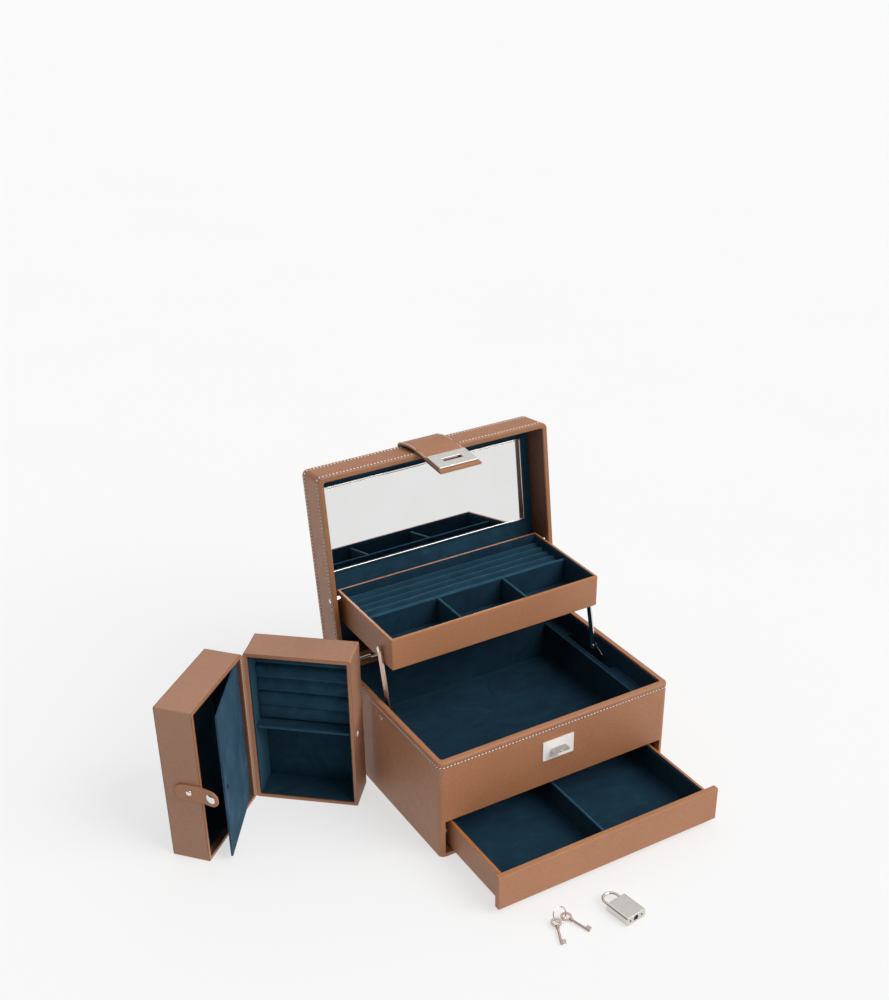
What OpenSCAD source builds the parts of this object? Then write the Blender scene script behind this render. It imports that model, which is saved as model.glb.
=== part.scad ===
// Leather jewellery case: a lidded case with a tray that lifts as the lid opens, a drawer,
// a small travel case, a padlock and two keys on a ring. Millimetres.
// X runs to the right, Y to the rear and Z up. The origin is the centre of the case's underside.
// Every piece is drawn where it lies with the case open and the drawer pulled out.

/* [Main case] */
// Width over the leather
case_w = 260; // [220:1:320]
// Depth over the leather, front to rear
case_d = 194; // [160:1:240]
// Height of the lower part, up to its rim
base_h = 109; // [90:1:140]
// Height of the lid
lid_h = 38; // [32:1:50]
// Thickness of the side walls of the lower part
side_wall = 5.5; // [4.5:0.1:8]
// Thickness of the front and rear walls of the lower part
end_wall = 6.5; // [5:0.1:9]
// Thickness of the lid's walls
lid_wall = 5; // [4:0.1:7]
// Thickness of the lid's top
lid_top = 4.7; // [3:0.1:8]
// Radius of the upright corners
corner_r = 4; // [2:0.5:10]
// Thickness of the base board
bottom_t = 4.5; // [3:0.5:8]
// Thickness of the board between the drawer and the compartment
board_t = 4; // [3:0.5:6]
// Thickness of the padded floor in the compartment
pad_t = 4; // [2:0.5:6]
// Thickness of the suede linings
lining_t = 1.2; // [0.8:0.1:2]
// Gap between the lid's rim and the rim below it when shut
rim_gap = 0.7; // [0.4:0.1:1.5]
// How far the lid is open
lid_open = 97.5; // [80:0.5:105]

/* [Lid lining and mirror] */
// Thickness of the suede board in the lid
panel_t = 2.8; // [2:0.2:5]
// Width of the mirror
mirror_w = 225.5; // [120:0.5:240]
// Height of the mirror, measured up the open lid
mirror_h = 86; // [60:1:110]
// Thickness of the mirror
mirror_t = 2; // [1.5:0.1:3]
// Distance from the hinge to the mirror's lower edge
mirror_rise = 88; // [60:1:100]
// Width of the mirror's metal trim
trim_w = 2; // [1:0.5:4]

/* [Piano hinge] */
// Radius of the hinge knuckles
knuckle_r = 1.5; // [1.2:0.1:2.5]
// Radius of the hinge pin
pin_r = 0.8; // [0.6:0.05:1]
// Number of knuckles
knuckles = 11; // [5:2:15]
// Length of the hinge
hinge_len = 236; // [120:1:240]
// Height of each leaf
leaf_h = 8; // [5:0.5:15]
// Thickness of each leaf
leaf_t = 0.6; // [0.4:0.1:1]

/* [Tray] */
// Depth of the tray, front to rear
tray_d = 114; // [100:1:125]
// Height of the tray
tray_h = 33.5; // [25:0.5:36]
// Thickness of the tray's leather walls
tray_wall = 4; // [3.5:0.1:6]
// Thickness of the tray's floor
tray_floor = 3; // [2:0.5:5]
// Space in front of the shut tray
tray_front_space = 16.7; // [5:0.1:25]
// Depth of the front row of compartments
cell_d = 46; // [30:1:60]
// Thickness of the suede dividers
divider_t = 3; // [2:0.5:5]
// Number of compartments in the front row
cells = 3; // [2:1:5]
// Number of ring rolls in the tray
tray_rolls = 5; // [3:1:6]
// Height of the tray's ring rolls above its lining
tray_roll_h = 23; // [12:0.5:25]

/* [Tray arms] */
// Angle of the arms above level when the case is shut
arm_rest = 6; // [2:0.5:12]
// Width of an arm
arm_w = 7; // [5:0.5:10]
// Thickness of an arm
arm_t = 1.8; // [1:0.1:3]
// Radius of the pivot rivets
pivot_r = 1.6; // [1.2:0.1:2]
// Radial running clearance of the pivots
pivot_play = 0.05; // [0.02:0.01:0.1]
// Thickness of the arm brackets
bracket_t = 1.2; // [0.8:0.1:2]
// Distance from the tray's front to its front pivots
pivot_front = 21.2; // [10:0.1:30]
// Distance from the tray's rear to its rear pivots
pivot_rear = 9.1; // [6:0.1:20]
// Height of the rear pivots above the tray's underside
pivot_up = 28.25; // [20:0.05:30]
// How far the front pivots lie below the rear ones
pivot_drop = 14.35; // [8:0.05:18]

/* [Drawer] */
// Height of the drawer's front
drawer_h = 36.5; // [28:0.5:45]
// Thickness of the drawer's front
front_t = 6.5; // [4:0.5:10]
// Length of the drawer's box behind its front
drawer_box_d = 172; // [120:1:176]
// Space between the drawer's box and each side wall
drawer_side = 7.5; // [6:0.1:10]
// Running gap round the drawer
drawer_play = 0.4; // [0.3:0.1:1]
// Thickness of the drawer's leather walls
drawer_wall = 4; // [3:0.1:6]
// How far the drawer is pulled out
drawer_out = 91.8; // [0:0.1:120]

/* [Clasp] */
// Width of the leather strap
strap_w = 46; // [30:1:60]
// Thickness of the strap
strap_t = 2.4; // [1.5:0.1:4]
// Gap between the strap and the case's front
strap_gap = 1.2; // [0.8:0.1:3]
// Width of the slotted plate
plate_w = 43; // [26:1:50]
// Height of the slotted plate
plate_h = 26; // [18:1:36]
// Thickness of the slotted plate
plate_t = 2.2; // [1:0.1:3]
// Length of the slot
slot_w = 21; // [17:0.5:30]
// Height of the slot
slot_h = 5.5; // [5:0.1:8]
// Width of the staple
staple_w = 16; // [8:0.5:20]
// Thickness of the staple
staple_t = 2.5; // [1.5:0.1:3]
// How far the staple stands out of its plate
staple_out = 9.5; // [9:0.1:12]
// Radius of the padlock hole in the staple
staple_hole_r = 1.9; // [1.6:0.1:2.2]
// Width of the staple's plate
keep_w = 35; // [20:1:45]
// Height of the staple's plate
keep_h = 21.5; // [15:0.5:25]
// Height of the staple above the case's underside
staple_z = 80.6; // [60:0.1:90]

/* [Travel case] */
// Width of each half
travel_w = 103.2; // [80:0.1:130]
// Height, with the case standing on its end
travel_h = 168.2; // [130:0.1:200]
// Depth of each half
travel_d = 38.4; // [28:0.1:50]
// Thickness of the travel case's walls
travel_wall = 3.6; // [3:0.1:5]
// How far the travel case is open
travel_open = 98.1; // [60:0.1:110]
// How far the flap stands out of the cover
flap_ajar = 14.5; // [5:0.5:25]
// Number of ring rolls in the travel case
travel_rolls = 5; // [3:1:6]
// How far the travel case's ring rolls stand out from the back of its lining
travel_roll_h = 18; // [12:0.5:22]
// Height of the shelf in the travel case
shelf_z = 80.5; // [60:1:110]
// Angle of the snap tab away from the cover's side
tab_angle = 12; // [8:1:20]

/* [Padlock and keys] */
// Width of the padlock's body
lock_w = 23; // [16:0.5:30]
// Length of the padlock's body
lock_l = 26; // [18:0.5:34]
// Thickness of the padlock's body
lock_t = 9; // [7:0.5:12]
// Radius of the shackle's bar
shackle_r = 1.45; // [1:0.05:2]
// Half the distance between the shackle's legs
shackle_half = 7.6; // [4:0.1:8]
// Length of a key, bow included
key_l = 31; // [20:0.5:40]
// Radius of a key's bow
bow_r = 5.2; // [4:0.1:8]
// Thickness of a key's bow
bow_t = 1.4; // [1:0.1:2.5]
// Radius of the wire in the key ring
wire_r = 0.6; // [0.4:0.05:1]
// Radius of the key ring at the middle of its wire
ring_r = 7; // [6:0.1:12]

/* [Hidden] */

$fn = 48;

leather = "#A9714B";
leather_edge = "#B9743A";
suede = "#1B3447";
steel = "#D8D2CC";
glass = "#E8ECEE";

// Inner faces of the lower part
inner_x = case_w / 2 - side_wall;
inner_y = case_d / 2 - end_wall;
// Drawer bay and compartment floor
bay_top = bottom_t + drawer_h + 2 * drawer_play;
board_top = bay_top + board_t;
floor_z = board_top + pad_t;

// Hinge axis, just behind the upper rear edge of the lower part
hinge_y = case_d / 2 + knuckle_r + 0.2;
hinge_z = base_h + rim_gap / 2;
lid_z = base_h + rim_gap;

// Side gap, from the wall inwards: lining, bracket, arm, rivet head, tray
rivet_head = 0.7;
head_r = 2.8;
side_play = 0.45;
bracket_x = inner_x - lining_t;
arm_x = bracket_x - bracket_t - rivet_head - 0.1;
tray_half = arm_x - arm_t - 0.1 - rivet_head - side_play;

// Depth of the tray, less in a shallow case so that its linkage keeps its room
tray_depth = min(tray_d, case_d - 75);

// Tray linkage: hinge, lid pivot, tray pivots and arm pivot form a parallelogram
arm_y = hinge_y - (tray_depth - pivot_front - pivot_rear);
arm_z = hinge_z - pivot_drop;
arm_reach = arm_y - pivot_front + inner_y - tray_front_space;
arm_len = arm_reach / cos(arm_rest);
arm_angle = 180 - arm_rest - lid_open;
arm_dy = arm_len * cos(arm_angle);
arm_dz = arm_len * sin(arm_angle);
tray_y = hinge_y + arm_dy + pivot_rear - tray_depth;
tray_z = hinge_z + arm_dz - pivot_up;
// Underside of the tray when the case is shut
tray_shut_z = hinge_z + arm_len * sin(arm_rest) - pivot_up;

// Side ledges that the shut tray rests just above
ledge_w = 13.5;
ledge_top = tray_shut_z - 0.8;
notch_w = 7;
notch_d = 12;
notch_y = [arm_y - 35, arm_y + 42];

// Lid lining and mirror, in the shut pose
lid_inner_x = case_w / 2 - lid_wall;
lid_ceiling = lid_z + lid_h - lid_top;
panel_z = lid_ceiling - panel_t;
// Mirror, smaller where the lid leaves it less room
glass_w = min(mirror_w, 2 * lid_inner_x - 12);
glass_h = min(mirror_h, case_d - lid_wall - mirror_rise - 8);
mirror_y = hinge_y - mirror_rise - glass_h / 2;

// Clasp, in the shut pose: the strap hangs down the front from the lid
front_y = -case_d / 2;
strap_y = front_y - strap_gap - strap_t / 2;
keep_t = 1;
keep_screw_r = 0.8;
keep_screw_x = keep_w / 2 - 3.2;
keep_screw_z = staple_z + keep_h / 2 - 3.2;
flex_z = lid_z + 1.7;
tail_len = 48.5;
slot_drop = flex_z - staple_z + 0.6;
strap_root_len = 36;
// Angle of the tail towards the case when it hangs from the open lid
tail_lean = 12;
knuckle_len = 6.4;

// Drawer
drawer_half = inner_x - drawer_side;
drawer_y = front_y - drawer_out;
drawer_z = bottom_t + drawer_play;
drawer_side_h = drawer_h - 5.5;
stop_head_r = 2.8;
stop_y = front_y + front_t + stop_head_r + 0.4;
stop_z = drawer_z + 19;

// Travel case: the corner of its spine, the turn of its body and its hinge axis
travel_x = -case_w / 2 - 108.8;
travel_y = 80.8;
travel_turn = -40.3;
spine_gap = 0.5;
travel_hinge_x = -spine_gap;
tab_z = 80;
tab_w = 17;
tab_t = 2;
tab_play = 0.3;
snap_y = 11.5;
stud_r = 3.2;
flap_t = 2;
flap_y = -4.2;
flap_x = travel_wall + 1.6;
flap_l = travel_w - 2 * travel_wall - 3.4;

// Padlock and keys on the surface in front of the case
lock_x = -26.4;
lock_y = front_y - 149.5;
lock_turn = 8;
// Middle of the two bows, the turn of the line between them and how far the ring leans
keys_x = -81.4;
keys_y = front_y - 128.2;
keys_turn = 8.2;
ring_lean = 62;
bow_gap = 1.5;
key_turns = [-23.4, 18.2];
// Height of the bows' middle, and the slope that brings each tip down
key_lift = 2.6;
key_slope = 2.9;

// ---------- shared shapes ----------

// Rectangle with round corners, centred, made of squares and circles
module round_rect(w, d, r) {
    union() {
        square([w - 2 * r, d], center = true);
        square([w, d - 2 * r], center = true);
        for (sx = [-1, 1], sy = [-1, 1])
            translate([sx * (w / 2 - r), sy * (d / 2 - r)]) circle(r);
    }
}

// Open box standing on z = 0: outer size, height, wall, floor and corner radius
module open_box(w, d, h, wall, floor_t, r) {
    difference() {
        linear_extrude(h) round_rect(w, d, r);
        translate([0, 0, floor_t]) linear_extrude(h) square([w - 2 * wall, d - 2 * wall], center = true);
    }
}

// Square-cornered suede lining standing on z = 0: outer size, height and floor
module lining_box(w, d, h, floor_t) {
    difference() {
        translate([-w / 2, -d / 2, 0]) cube([w, d, h]);
        translate([lining_t - w / 2, lining_t - d / 2, floor_t])
            cube([w - 2 * lining_t, d - 2 * lining_t, h]);
    }
}

// Cylinder along X from x0 to x1 at (y, z)
module x_rod(x0, x1, y, z, r) {
    translate([min(x0, x1), y, z]) rotate([0, 90, 0]) cylinder(h = abs(x1 - x0), r = r);
}

// Cylinder along Y from y0 to y1 at (x, z)
module y_rod(y0, y1, x, z, r) {
    translate([x, max(y0, y1), z]) rotate([90, 0, 0]) cylinder(h = abs(y1 - y0), r = r);
}

// Rivet along X: a domed head outside xh and a shank from xh to x1, on side s
module side_rivet(s, xh, x1, y, z) {
    x_rod(s * xh, s * x1, y, z, pivot_r);
    translate([s * xh, y, z]) rotate([0, s * 90, 0]) dome(head_r, 1);
}

// Low dome on z = 0
module dome(r, h) {
    big = (r * r + h * h) / (2 * h);
    rotate_extrude() intersection() {
        translate([0, h - big]) circle(big, $fn = 96);
        square([r + 1, h + 1]);
    }
}

// Both sides of the case: children are drawn for the right side and mirrored
module both_sides() {
    children();
    mirror([1, 0, 0]) children();
}

// Turns what is drawn in the shut pose about the hinge into the open pose
module opened() {
    translate([0, hinge_y, hinge_z]) rotate([-lid_open, 0, 0]) translate([0, -hinge_y, -hinge_z])
        children();
}

// Turns the strap's tail, drawn hanging straight, about its flex line
module leaned() {
    translate([0, strap_y, flex_z]) rotate([tail_lean, 0, 0]) translate([0, -strap_y, -flex_z])
        children();
}

// Travel case body's own frame: x across its width, y into its depth, z up
module in_travel() {
    translate([travel_x, travel_y, 0]) rotate([0, 0, travel_turn]) children();
}

// Travel case cover, drawn shut against the body, swung open about the spine
module in_cover() {
    in_travel() translate([travel_hinge_x, 0, 0]) rotate([0, 0, -travel_open])
        translate([-travel_hinge_x, 0, 0]) children();
}

// Padlock's own frame: x across its body, y towards its shackle, z up
module in_lock() {
    translate([lock_x, lock_y, 0]) rotate([0, 0, lock_turn]) children();
}

// ---------- lower part ----------

module base_walls() {
    color(leather) difference() {
        linear_extrude(base_h) difference() {
            round_rect(case_w, case_d, corner_r);
            square([2 * inner_x, 2 * inner_y], center = true);
        }
        translate([-inner_x, front_y - 1, bottom_t]) cube([2 * inner_x, end_wall + 2, bay_top - bottom_t]);
        translate([-inner_x, front_y - 1, -1]) cube([2 * inner_x, end_wall + 2, bottom_t + 2]);
        both_sides() x_rod(inner_x - 1, case_w / 2 + 1, arm_y, arm_z, pivot_r + pivot_play);
    }
}

// The base board reaches the front face under the drawer
module base_bottom() {
    color(leather) translate([-inner_x, front_y, 0]) cube([2 * inner_x, case_d - end_wall, bottom_t]);
}

module compartment_board() {
    color(leather_edge) translate([-inner_x, -inner_y, bay_top]) cube([2 * inner_x, 2 * inner_y, board_t]);
}

module base_lining() {
    color(suede) difference() {
        translate([0, 0, board_top]) lining_box(2 * inner_x, 2 * inner_y, base_h - board_top - 2, pad_t);
        both_sides() x_rod(inner_x - lining_t - 1, inner_x + 1, arm_y, arm_z, pivot_r + pivot_play);
    }
}

// Block along the right-hand wall, notched beside the wall for the arm's bracket
module ledge() {
    outer = inner_x - lining_t;
    len = 2 * (inner_y - lining_t);
    difference() {
        translate([outer - ledge_w, -len / 2, floor_z]) cube([ledge_w, len, ledge_top - floor_z]);
        translate([outer - notch_w, notch_y[0], ledge_top - notch_d])
            cube([notch_w + 1, notch_y[1] - notch_y[0], notch_d + 1]);
    }
}

module ledge_left() { color(suede) mirror([1, 0, 0]) ledge(); }

module ledge_right() { color(suede) ledge(); }

// Knuckle i of the hinge, with its web to the leaf; up is 1 for the lid's leaf, -1 for the base's
module knuckle(i, up) {
    pitch = hinge_len / knuckles;
    x0 = -hinge_len / 2 + i * pitch + 0.2;
    len = pitch - 0.4;
    web_z = up > 0 ? hinge_z : hinge_z - knuckle_r - 1;
    difference() {
        union() {
            x_rod(x0, x0 + len, hinge_y, hinge_z, knuckle_r);
            translate([x0, hinge_y - knuckle_r, web_z]) cube([len, leaf_t, knuckle_r + 1]);
        }
        x_rod(x0 - 1, x0 + len + 1, hinge_y, hinge_z, pin_r + pivot_play);
    }
}

// Leaf plate behind the case, its near edge clear of the knuckles it faces
module leaf(z0) {
    translate([-hinge_len / 2, case_d / 2 + 0.2, z0]) cube([hinge_len, leaf_t, leaf_h]);
}

// Lower leaf, its knuckles and the strip that beds it on the rear wall
module hinge_base_leaf() {
    color(steel) {
        union() {
            leaf(hinge_z - knuckle_r - 0.4 - leaf_h);
            for (i = [0 : 2 : knuckles - 1]) knuckle(i, -1);
            translate([-hinge_len / 2, case_d / 2, hinge_z - knuckle_r - 0.4 - leaf_h])
                cube([hinge_len, 0.21, leaf_h - 1]);
        }
    }
}

module hinge_pin() {
    color(steel) x_rod(-hinge_len / 2, hinge_len / 2, hinge_y, hinge_z, pin_r);
}

// Small plate under each arm pivot, running down and forwards
module arm_brackets() {
    color(steel) both_sides() difference() {
        union() {
            x_rod(bracket_x - bracket_t, bracket_x, arm_y, arm_z, 4);
            translate([bracket_x - bracket_t, arm_y, arm_z]) rotate([29, 0, 0])
                translate([0, -15, -2.5]) cube([bracket_t, 15, 5]);
        }
        x_rod(bracket_x - bracket_t - 1, bracket_x + 1, arm_y, arm_z, pivot_r + pivot_play);
    }
}

module arm_rivets() {
    color(steel) both_sides() {
        side_rivet(1, case_w / 2, arm_x - arm_t - 0.1, arm_y, arm_z);
        x_rod(arm_x - arm_t - 0.1 - rivet_head, arm_x - arm_t - 0.1, arm_y, arm_z, head_r);
    }
}

// Plate on the front with a fixed tongue for the padlock
module staple_plate() {
    tip = staple_out - staple_w / 5;
    color(steel) difference() {
        union() {
            translate([-keep_w / 2, front_y - keep_t, staple_z - keep_h / 2]) cube([keep_w, keep_t, keep_h]);
            translate([0, front_y - keep_t, staple_z - staple_t / 2]) linear_extrude(staple_t) union() {
                translate([-staple_w / 2, -tip]) square([staple_w, tip + 0.1]);
                translate([-staple_w / 2 + 3, -staple_out]) square([staple_w - 6, staple_out]);
                for (sx = [-1, 1]) translate([sx * (staple_w / 2 - 3), -staple_out + 3]) circle(3);
            }
        }
        translate([0, front_y - keep_t - staple_out + 2.3, staple_z - 5])
            cylinder(h = 10, r = staple_hole_r);
        for (sx = [-1, 1])
            y_rod(front_y + 1, front_y - keep_t - 1, sx * keep_screw_x, keep_screw_z, keep_screw_r + 0.05);
    }
}

// Two small screws set flush in the staple's plate
module staple_screws() {
    color(steel) for (sx = [-1, 1])
        y_rod(front_y, front_y - keep_t + 0.1, sx * keep_screw_x, keep_screw_z, keep_screw_r);
}

// Screws in the side walls just behind the shut drawer's front, which stop the drawer's pegs
module drawer_stop_screws() {
    color(steel) both_sides() {
        x_rod(inner_x, drawer_half + 3, stop_y, stop_z, 1.3);
        translate([drawer_half + 3, stop_y, stop_z]) rotate([0, -90, 0]) dome(stop_head_r, 1.8);
    }
}

// ---------- lid ----------

module lid_shell() {
    color(leather) opened() difference() {
        translate([0, 0, lid_z]) linear_extrude(lid_h) round_rect(case_w, case_d, corner_r);
        translate([-lid_inner_x, -case_d / 2 + lid_wall, lid_z - 1])
            cube([2 * lid_inner_x, case_d - 2 * lid_wall, lid_h - lid_top + 1]);
        both_sides() x_rod(lid_inner_x - 1, case_w / 2 + 1, hinge_y - arm_reach,
            hinge_z + arm_len * sin(arm_rest), pivot_r + pivot_play);
    }
}

// Suede board across the inside of the lid
module lid_lining() {
    color(suede) opened() translate([-lid_inner_x, -case_d / 2 + lid_wall, panel_z])
        cube([2 * lid_inner_x, case_d - 2 * lid_wall, panel_t]);
}

module mirror_glass() {
    translate([-glass_w / 2, mirror_y - glass_h / 2, panel_z - mirror_t])
        cube([glass_w, glass_h, mirror_t]);
}

module mirror_trim_ring() {
    translate([0, mirror_y, panel_z - mirror_t]) linear_extrude(mirror_t) difference() {
        square([glass_w + 2 * trim_w, glass_h + 2 * trim_w], center = true);
        square([glass_w, glass_h], center = true);
    }
}

module mirror_node() { color(glass) opened() mirror_glass(); }

module mirror_trim() { color(steel) opened() mirror_trim_ring(); }

module hinge_lid_leaf() {
    z0 = hinge_z + knuckle_r + 0.4;
    color(steel) opened() union() {
        leaf(z0);
        for (i = [1 : 2 : knuckles - 1]) knuckle(i, 1);
        translate([-hinge_len / 2, case_d / 2, z0 + 1]) cube([hinge_len, 0.21, leaf_h - 1]);
    }
}

// Rivets through the lid's side walls that carry the tray's rear end
module lid_pivots() {
    y = hinge_y - arm_reach;
    z = hinge_z + arm_len * sin(arm_rest);
    color(steel) opened() both_sides() {
        side_rivet(1, case_w / 2, tray_half - tray_wall + 0.9, y, z);
        x_rod(tray_half + 0.5, lid_inner_x, y, z, head_r);
    }
}

// Strap over the lid's front edge: flat on the lid, round the edge and down the front
module strap_root() {
    cz = lid_z + lid_h - strap_gap;
    low = flex_z + knuckle_len / 2 + 0.3;
    color(leather) opened() union() {
        translate([-strap_w / 2, front_y, lid_z + lid_h]) cube([strap_w, strap_root_len, strap_t]);
        translate([-strap_w / 2, strap_y - strap_t / 2, low]) cube([strap_w, strap_t, cz - low]);
        translate([0, front_y, cz]) rotate([0, 90, 0]) translate([0, 0, -strap_w / 2]) linear_extrude(strap_w)
            intersection() {
                difference() {
                    circle(strap_gap + strap_t);
                    circle(strap_gap);
                }
                translate([-10, -10]) square([10, 10]);
            }
    }
}

// Piece of strap that flexes with the lid
module strap_knuckle() {
    color(leather) opened() leaned()
        translate([-strap_w / 2, strap_y - strap_t / 2, flex_z - knuckle_len / 2])
            cube([strap_w, strap_t, knuckle_len]);
}

// Place of the slotted plate, with the tail drawn straight
plate_top = flex_z - slot_drop + plate_h / 2;

module slot_cut(h) {
    translate([-slot_w / 2, strap_y - 10, flex_z - slot_drop - h / 2]) cube([slot_w, 20, h]);
}

// The strap's lower end, with the slot for the staple
module strap_tail() {
    top = flex_z - knuckle_len / 2 - 0.3;
    color(leather) opened() leaned() difference() {
        translate([-strap_w / 2, strap_y - strap_t / 2, flex_z - tail_len])
            cube([strap_w, strap_t, top - flex_z + tail_len]);
        slot_cut(slot_h + 0.6);
        for (sx = [-1, 1]) plate_screw(sx, 0.05);
    }
}

module plate_screw(sx, grow) {
    x = sx * (plate_w / 2 - 4);
    y_rod(strap_y + strap_t / 2 - 0.3, strap_y - strap_t / 2, x, plate_top - 4, 1.2 + grow);
}

module slotted_plate() {
    color(steel) opened() leaned() difference() {
        translate([-plate_w / 2, strap_y - strap_t / 2 - plate_t, plate_top - plate_h])
            cube([plate_w, plate_t, plate_h]);
        slot_cut(slot_h);
    }
}

// Two screws that hold the plate from behind
module plate_screws() {
    color(steel) opened() leaned() for (sx = [-1, 1]) plate_screw(sx, 0);
}

// ---------- tray ----------

// Tray's own frame: centred in x, front at y = 0, underside at z = 0
module in_tray() {
    translate([0, tray_y, tray_z]) children();
}

module tray_box() {
    color(leather) difference() {
        in_tray() translate([0, tray_depth / 2, 0])
            open_box(2 * tray_half, tray_depth, tray_h, tray_wall, tray_floor, 1.5);
        both_sides() x_rod(tray_half - tray_wall + 0.6, tray_half + 1, hinge_y + arm_dy, hinge_z + arm_dz,
            pivot_r + pivot_play);
    }
}

module tray_lining() {
    color(suede) in_tray() translate([0, tray_depth / 2, tray_floor])
        lining_box(2 * (tray_half - tray_wall), tray_depth - 2 * tray_wall,
                   tray_h - tray_floor - 1.5, lining_t);
}

// Inner faces of the lined tray
cell_x = tray_half - tray_wall - lining_t;
cell_y0 = tray_wall + lining_t;
cell_z0 = tray_floor + lining_t;
cell_top = tray_h - 2.5;
cross_y = cell_y0 + cell_d;

module tray_cross_divider() {
    color(suede) in_tray() translate([-cell_x, cross_y, cell_z0])
        cube([2 * cell_x, divider_t, cell_top - cell_z0]);
}

module tray_dividers() {
    color(suede) in_tray() for (i = [1 : cells - 1])
        translate([-cell_x + i * 2 * cell_x / cells - divider_t / 2, cell_y0, cell_z0])
            cube([divider_t, cell_d, cell_top - cell_z0 - 0.5]);
}

// Row of round-topped rolls along X on a shared pad: count, start, room, height and half length
module rolls(count, y0, room, z0, h, half) {
    pitch = room / count;
    r = pitch / 2 - 0.15;
    union() {
        translate([-half, y0, z0]) cube([2 * half, room, h - r]);
        for (i = [0 : count - 1]) x_rod(-half, half, y0 + (i + 0.5) * pitch, z0 + h - r, r);
    }
}

module tray_ring_rolls() {
    y0 = cross_y + divider_t;
    color(suede) in_tray()
        rolls(tray_rolls, y0, tray_depth - tray_wall - lining_t - y0, cell_z0, tray_roll_h, cell_x);
}

// Short pins on the tray's sides that turn in the arms
module tray_pins() {
    y = arm_y + arm_dy;
    z = arm_z + arm_dz;
    color(steel) both_sides() {
        x_rod(tray_half, arm_x + 0.1, y, z, pivot_r);
        x_rod(arm_x + 0.1, arm_x + 0.1 + rivet_head, y, z, head_r);
    }
}

module arm() {
    difference() {
        translate([arm_x - arm_t, arm_y, arm_z]) rotate([arm_angle - 90, 0, 0]) union() {
            translate([0, -arm_w / 2, 0]) cube([arm_t, arm_w, arm_len]);
            for (d = [0, arm_len]) x_rod(0, arm_t, 0, d, arm_w / 2);
        }
        x_rod(arm_x - arm_t - 1, arm_x + 1, arm_y, arm_z, pivot_r + pivot_play);
        x_rod(arm_x - arm_t - 1, arm_x + 1, arm_y + arm_dy, arm_z + arm_dz, pivot_r + pivot_play);
    }
}

module arm_left() { color(steel) mirror([1, 0, 0]) arm(); }

module arm_right() { color(steel) arm(); }

// ---------- drawer ----------

// Drawer's own frame: centred in x, face of its front at y = 0, underside at z = 0
module in_drawer() {
    translate([0, drawer_y, drawer_z]) children();
}

module drawer_front() {
    color(leather) in_drawer() translate([-inner_x + drawer_play + 0.1, 0, 0])
        cube([2 * (inner_x - drawer_play - 0.1), front_t, drawer_h]);
}

module drawer_box() {
    color(leather) in_drawer() translate([0, front_t + drawer_box_d / 2, 0.2])
        open_box(2 * drawer_half, drawer_box_d, drawer_side_h, drawer_wall, 3, 0.5);
}

module drawer_lining() {
    color(suede) in_drawer() translate([0, front_t + drawer_box_d / 2, 3.2])
        lining_box(2 * (drawer_half - drawer_wall), drawer_box_d - 2 * drawer_wall, drawer_side_h - 4.2,
            lining_t);
}

module drawer_divider() {
    gap = drawer_wall + lining_t;
    color(suede) in_drawer() translate([-divider_t / 2, front_t + gap, 3.2 + lining_t])
        cube([divider_t, drawer_box_d - 2 * gap, drawer_side_h - 7]);
}

// Pegs at the rear of the drawer's sides that meet the stop screws
module drawer_pegs() {
    color(leather_edge) in_drawer() both_sides()
        translate([drawer_half, front_t + drawer_box_d - 8, 14]) cube([drawer_side - 1, 6, 12]);
}

// ---------- travel case ----------

// Half case drawn with its mouth at y = 0 and its depth towards +y
module half_case(gap) {
    difference() {
        translate([travel_w / 2, travel_d / 2 + gap / 2, 0]) linear_extrude(travel_h)
            round_rect(travel_w, travel_d - gap, 1.5);
        translate([travel_wall, -1, travel_wall])
            cube([travel_w - 2 * travel_wall, travel_d - travel_wall + 1, travel_h - 2 * travel_wall]);
    }
}

// Suede tub inside a half case, its rim back from the mouth
module half_lining(back) {
    w = travel_w - 2 * travel_wall;
    h = travel_h - 2 * travel_wall;
    difference() {
        translate([travel_wall, back, travel_wall]) cube([w, travel_d - travel_wall - back, h]);
        translate([travel_wall + lining_t, back - 1, travel_wall + lining_t])
            cube([w - 2 * lining_t, travel_d - travel_wall - back - lining_t + 1, h - 2 * lining_t]);
    }
}

module travel_body() {
    color(leather) in_travel() half_case(spine_gap);
}

module travel_body_lining() { color(suede) in_travel() half_lining(2); }

// Rolls across the upper part of the body, on a pad against its back
module travel_ring_rolls() {
    z0 = shelf_z + divider_t;
    room = travel_h - travel_wall - lining_t - z0;
    half = travel_w / 2 - travel_wall - lining_t;
    color(suede) in_travel() translate([travel_w / 2, travel_d - travel_wall - lining_t, 0])
        rotate([90, 0, 0]) rolls(travel_rolls, z0, room, 0, travel_roll_h, half);
}

module travel_shelf() {
    inset = travel_wall + lining_t;
    front = 5;
    color(suede) in_travel() translate([inset, front, shelf_z])
        cube([travel_w - 2 * inset, travel_d - inset - front, divider_t]);
}

// Domed press stud on the free side of the body
module travel_stud() {
    color(steel) in_travel() translate([travel_w, snap_y, tab_z]) rotate([0, 90, 0]) union() {
        cylinder(h = 1, r = stud_r - 0.8);
        translate([0, 0, 0.6]) dome(stud_r, 0.9);
    }
}

// Leather strip up the spine, on the outer side of the body
module travel_spine() {
    color(leather) in_travel() translate([-0.9, 2, 2]) cube([0.9, 9, travel_h - 4]);
}

module travel_cover() {
    color(leather) in_cover() mirror([0, 1, 0]) half_case(spine_gap);
}

module travel_cover_lining() {
    color(suede) in_cover() mirror([0, 1, 0]) half_lining(7);
}

// Fixed end of the snap tab, riveted to the cover's free side
module tab_anchor() {
    color(leather) in_cover() translate([travel_w, 0, tab_z]) rotate([0, 90, 0]) union() {
        linear_extrude(tab_t) union() {
            translate([-tab_w / 2, -18]) square([tab_w, 17.6]);
            translate([0, -18]) circle(tab_w / 2);
        }
        translate([0, -12, tab_t]) dome(3, 1.2);
    }
}

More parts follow.
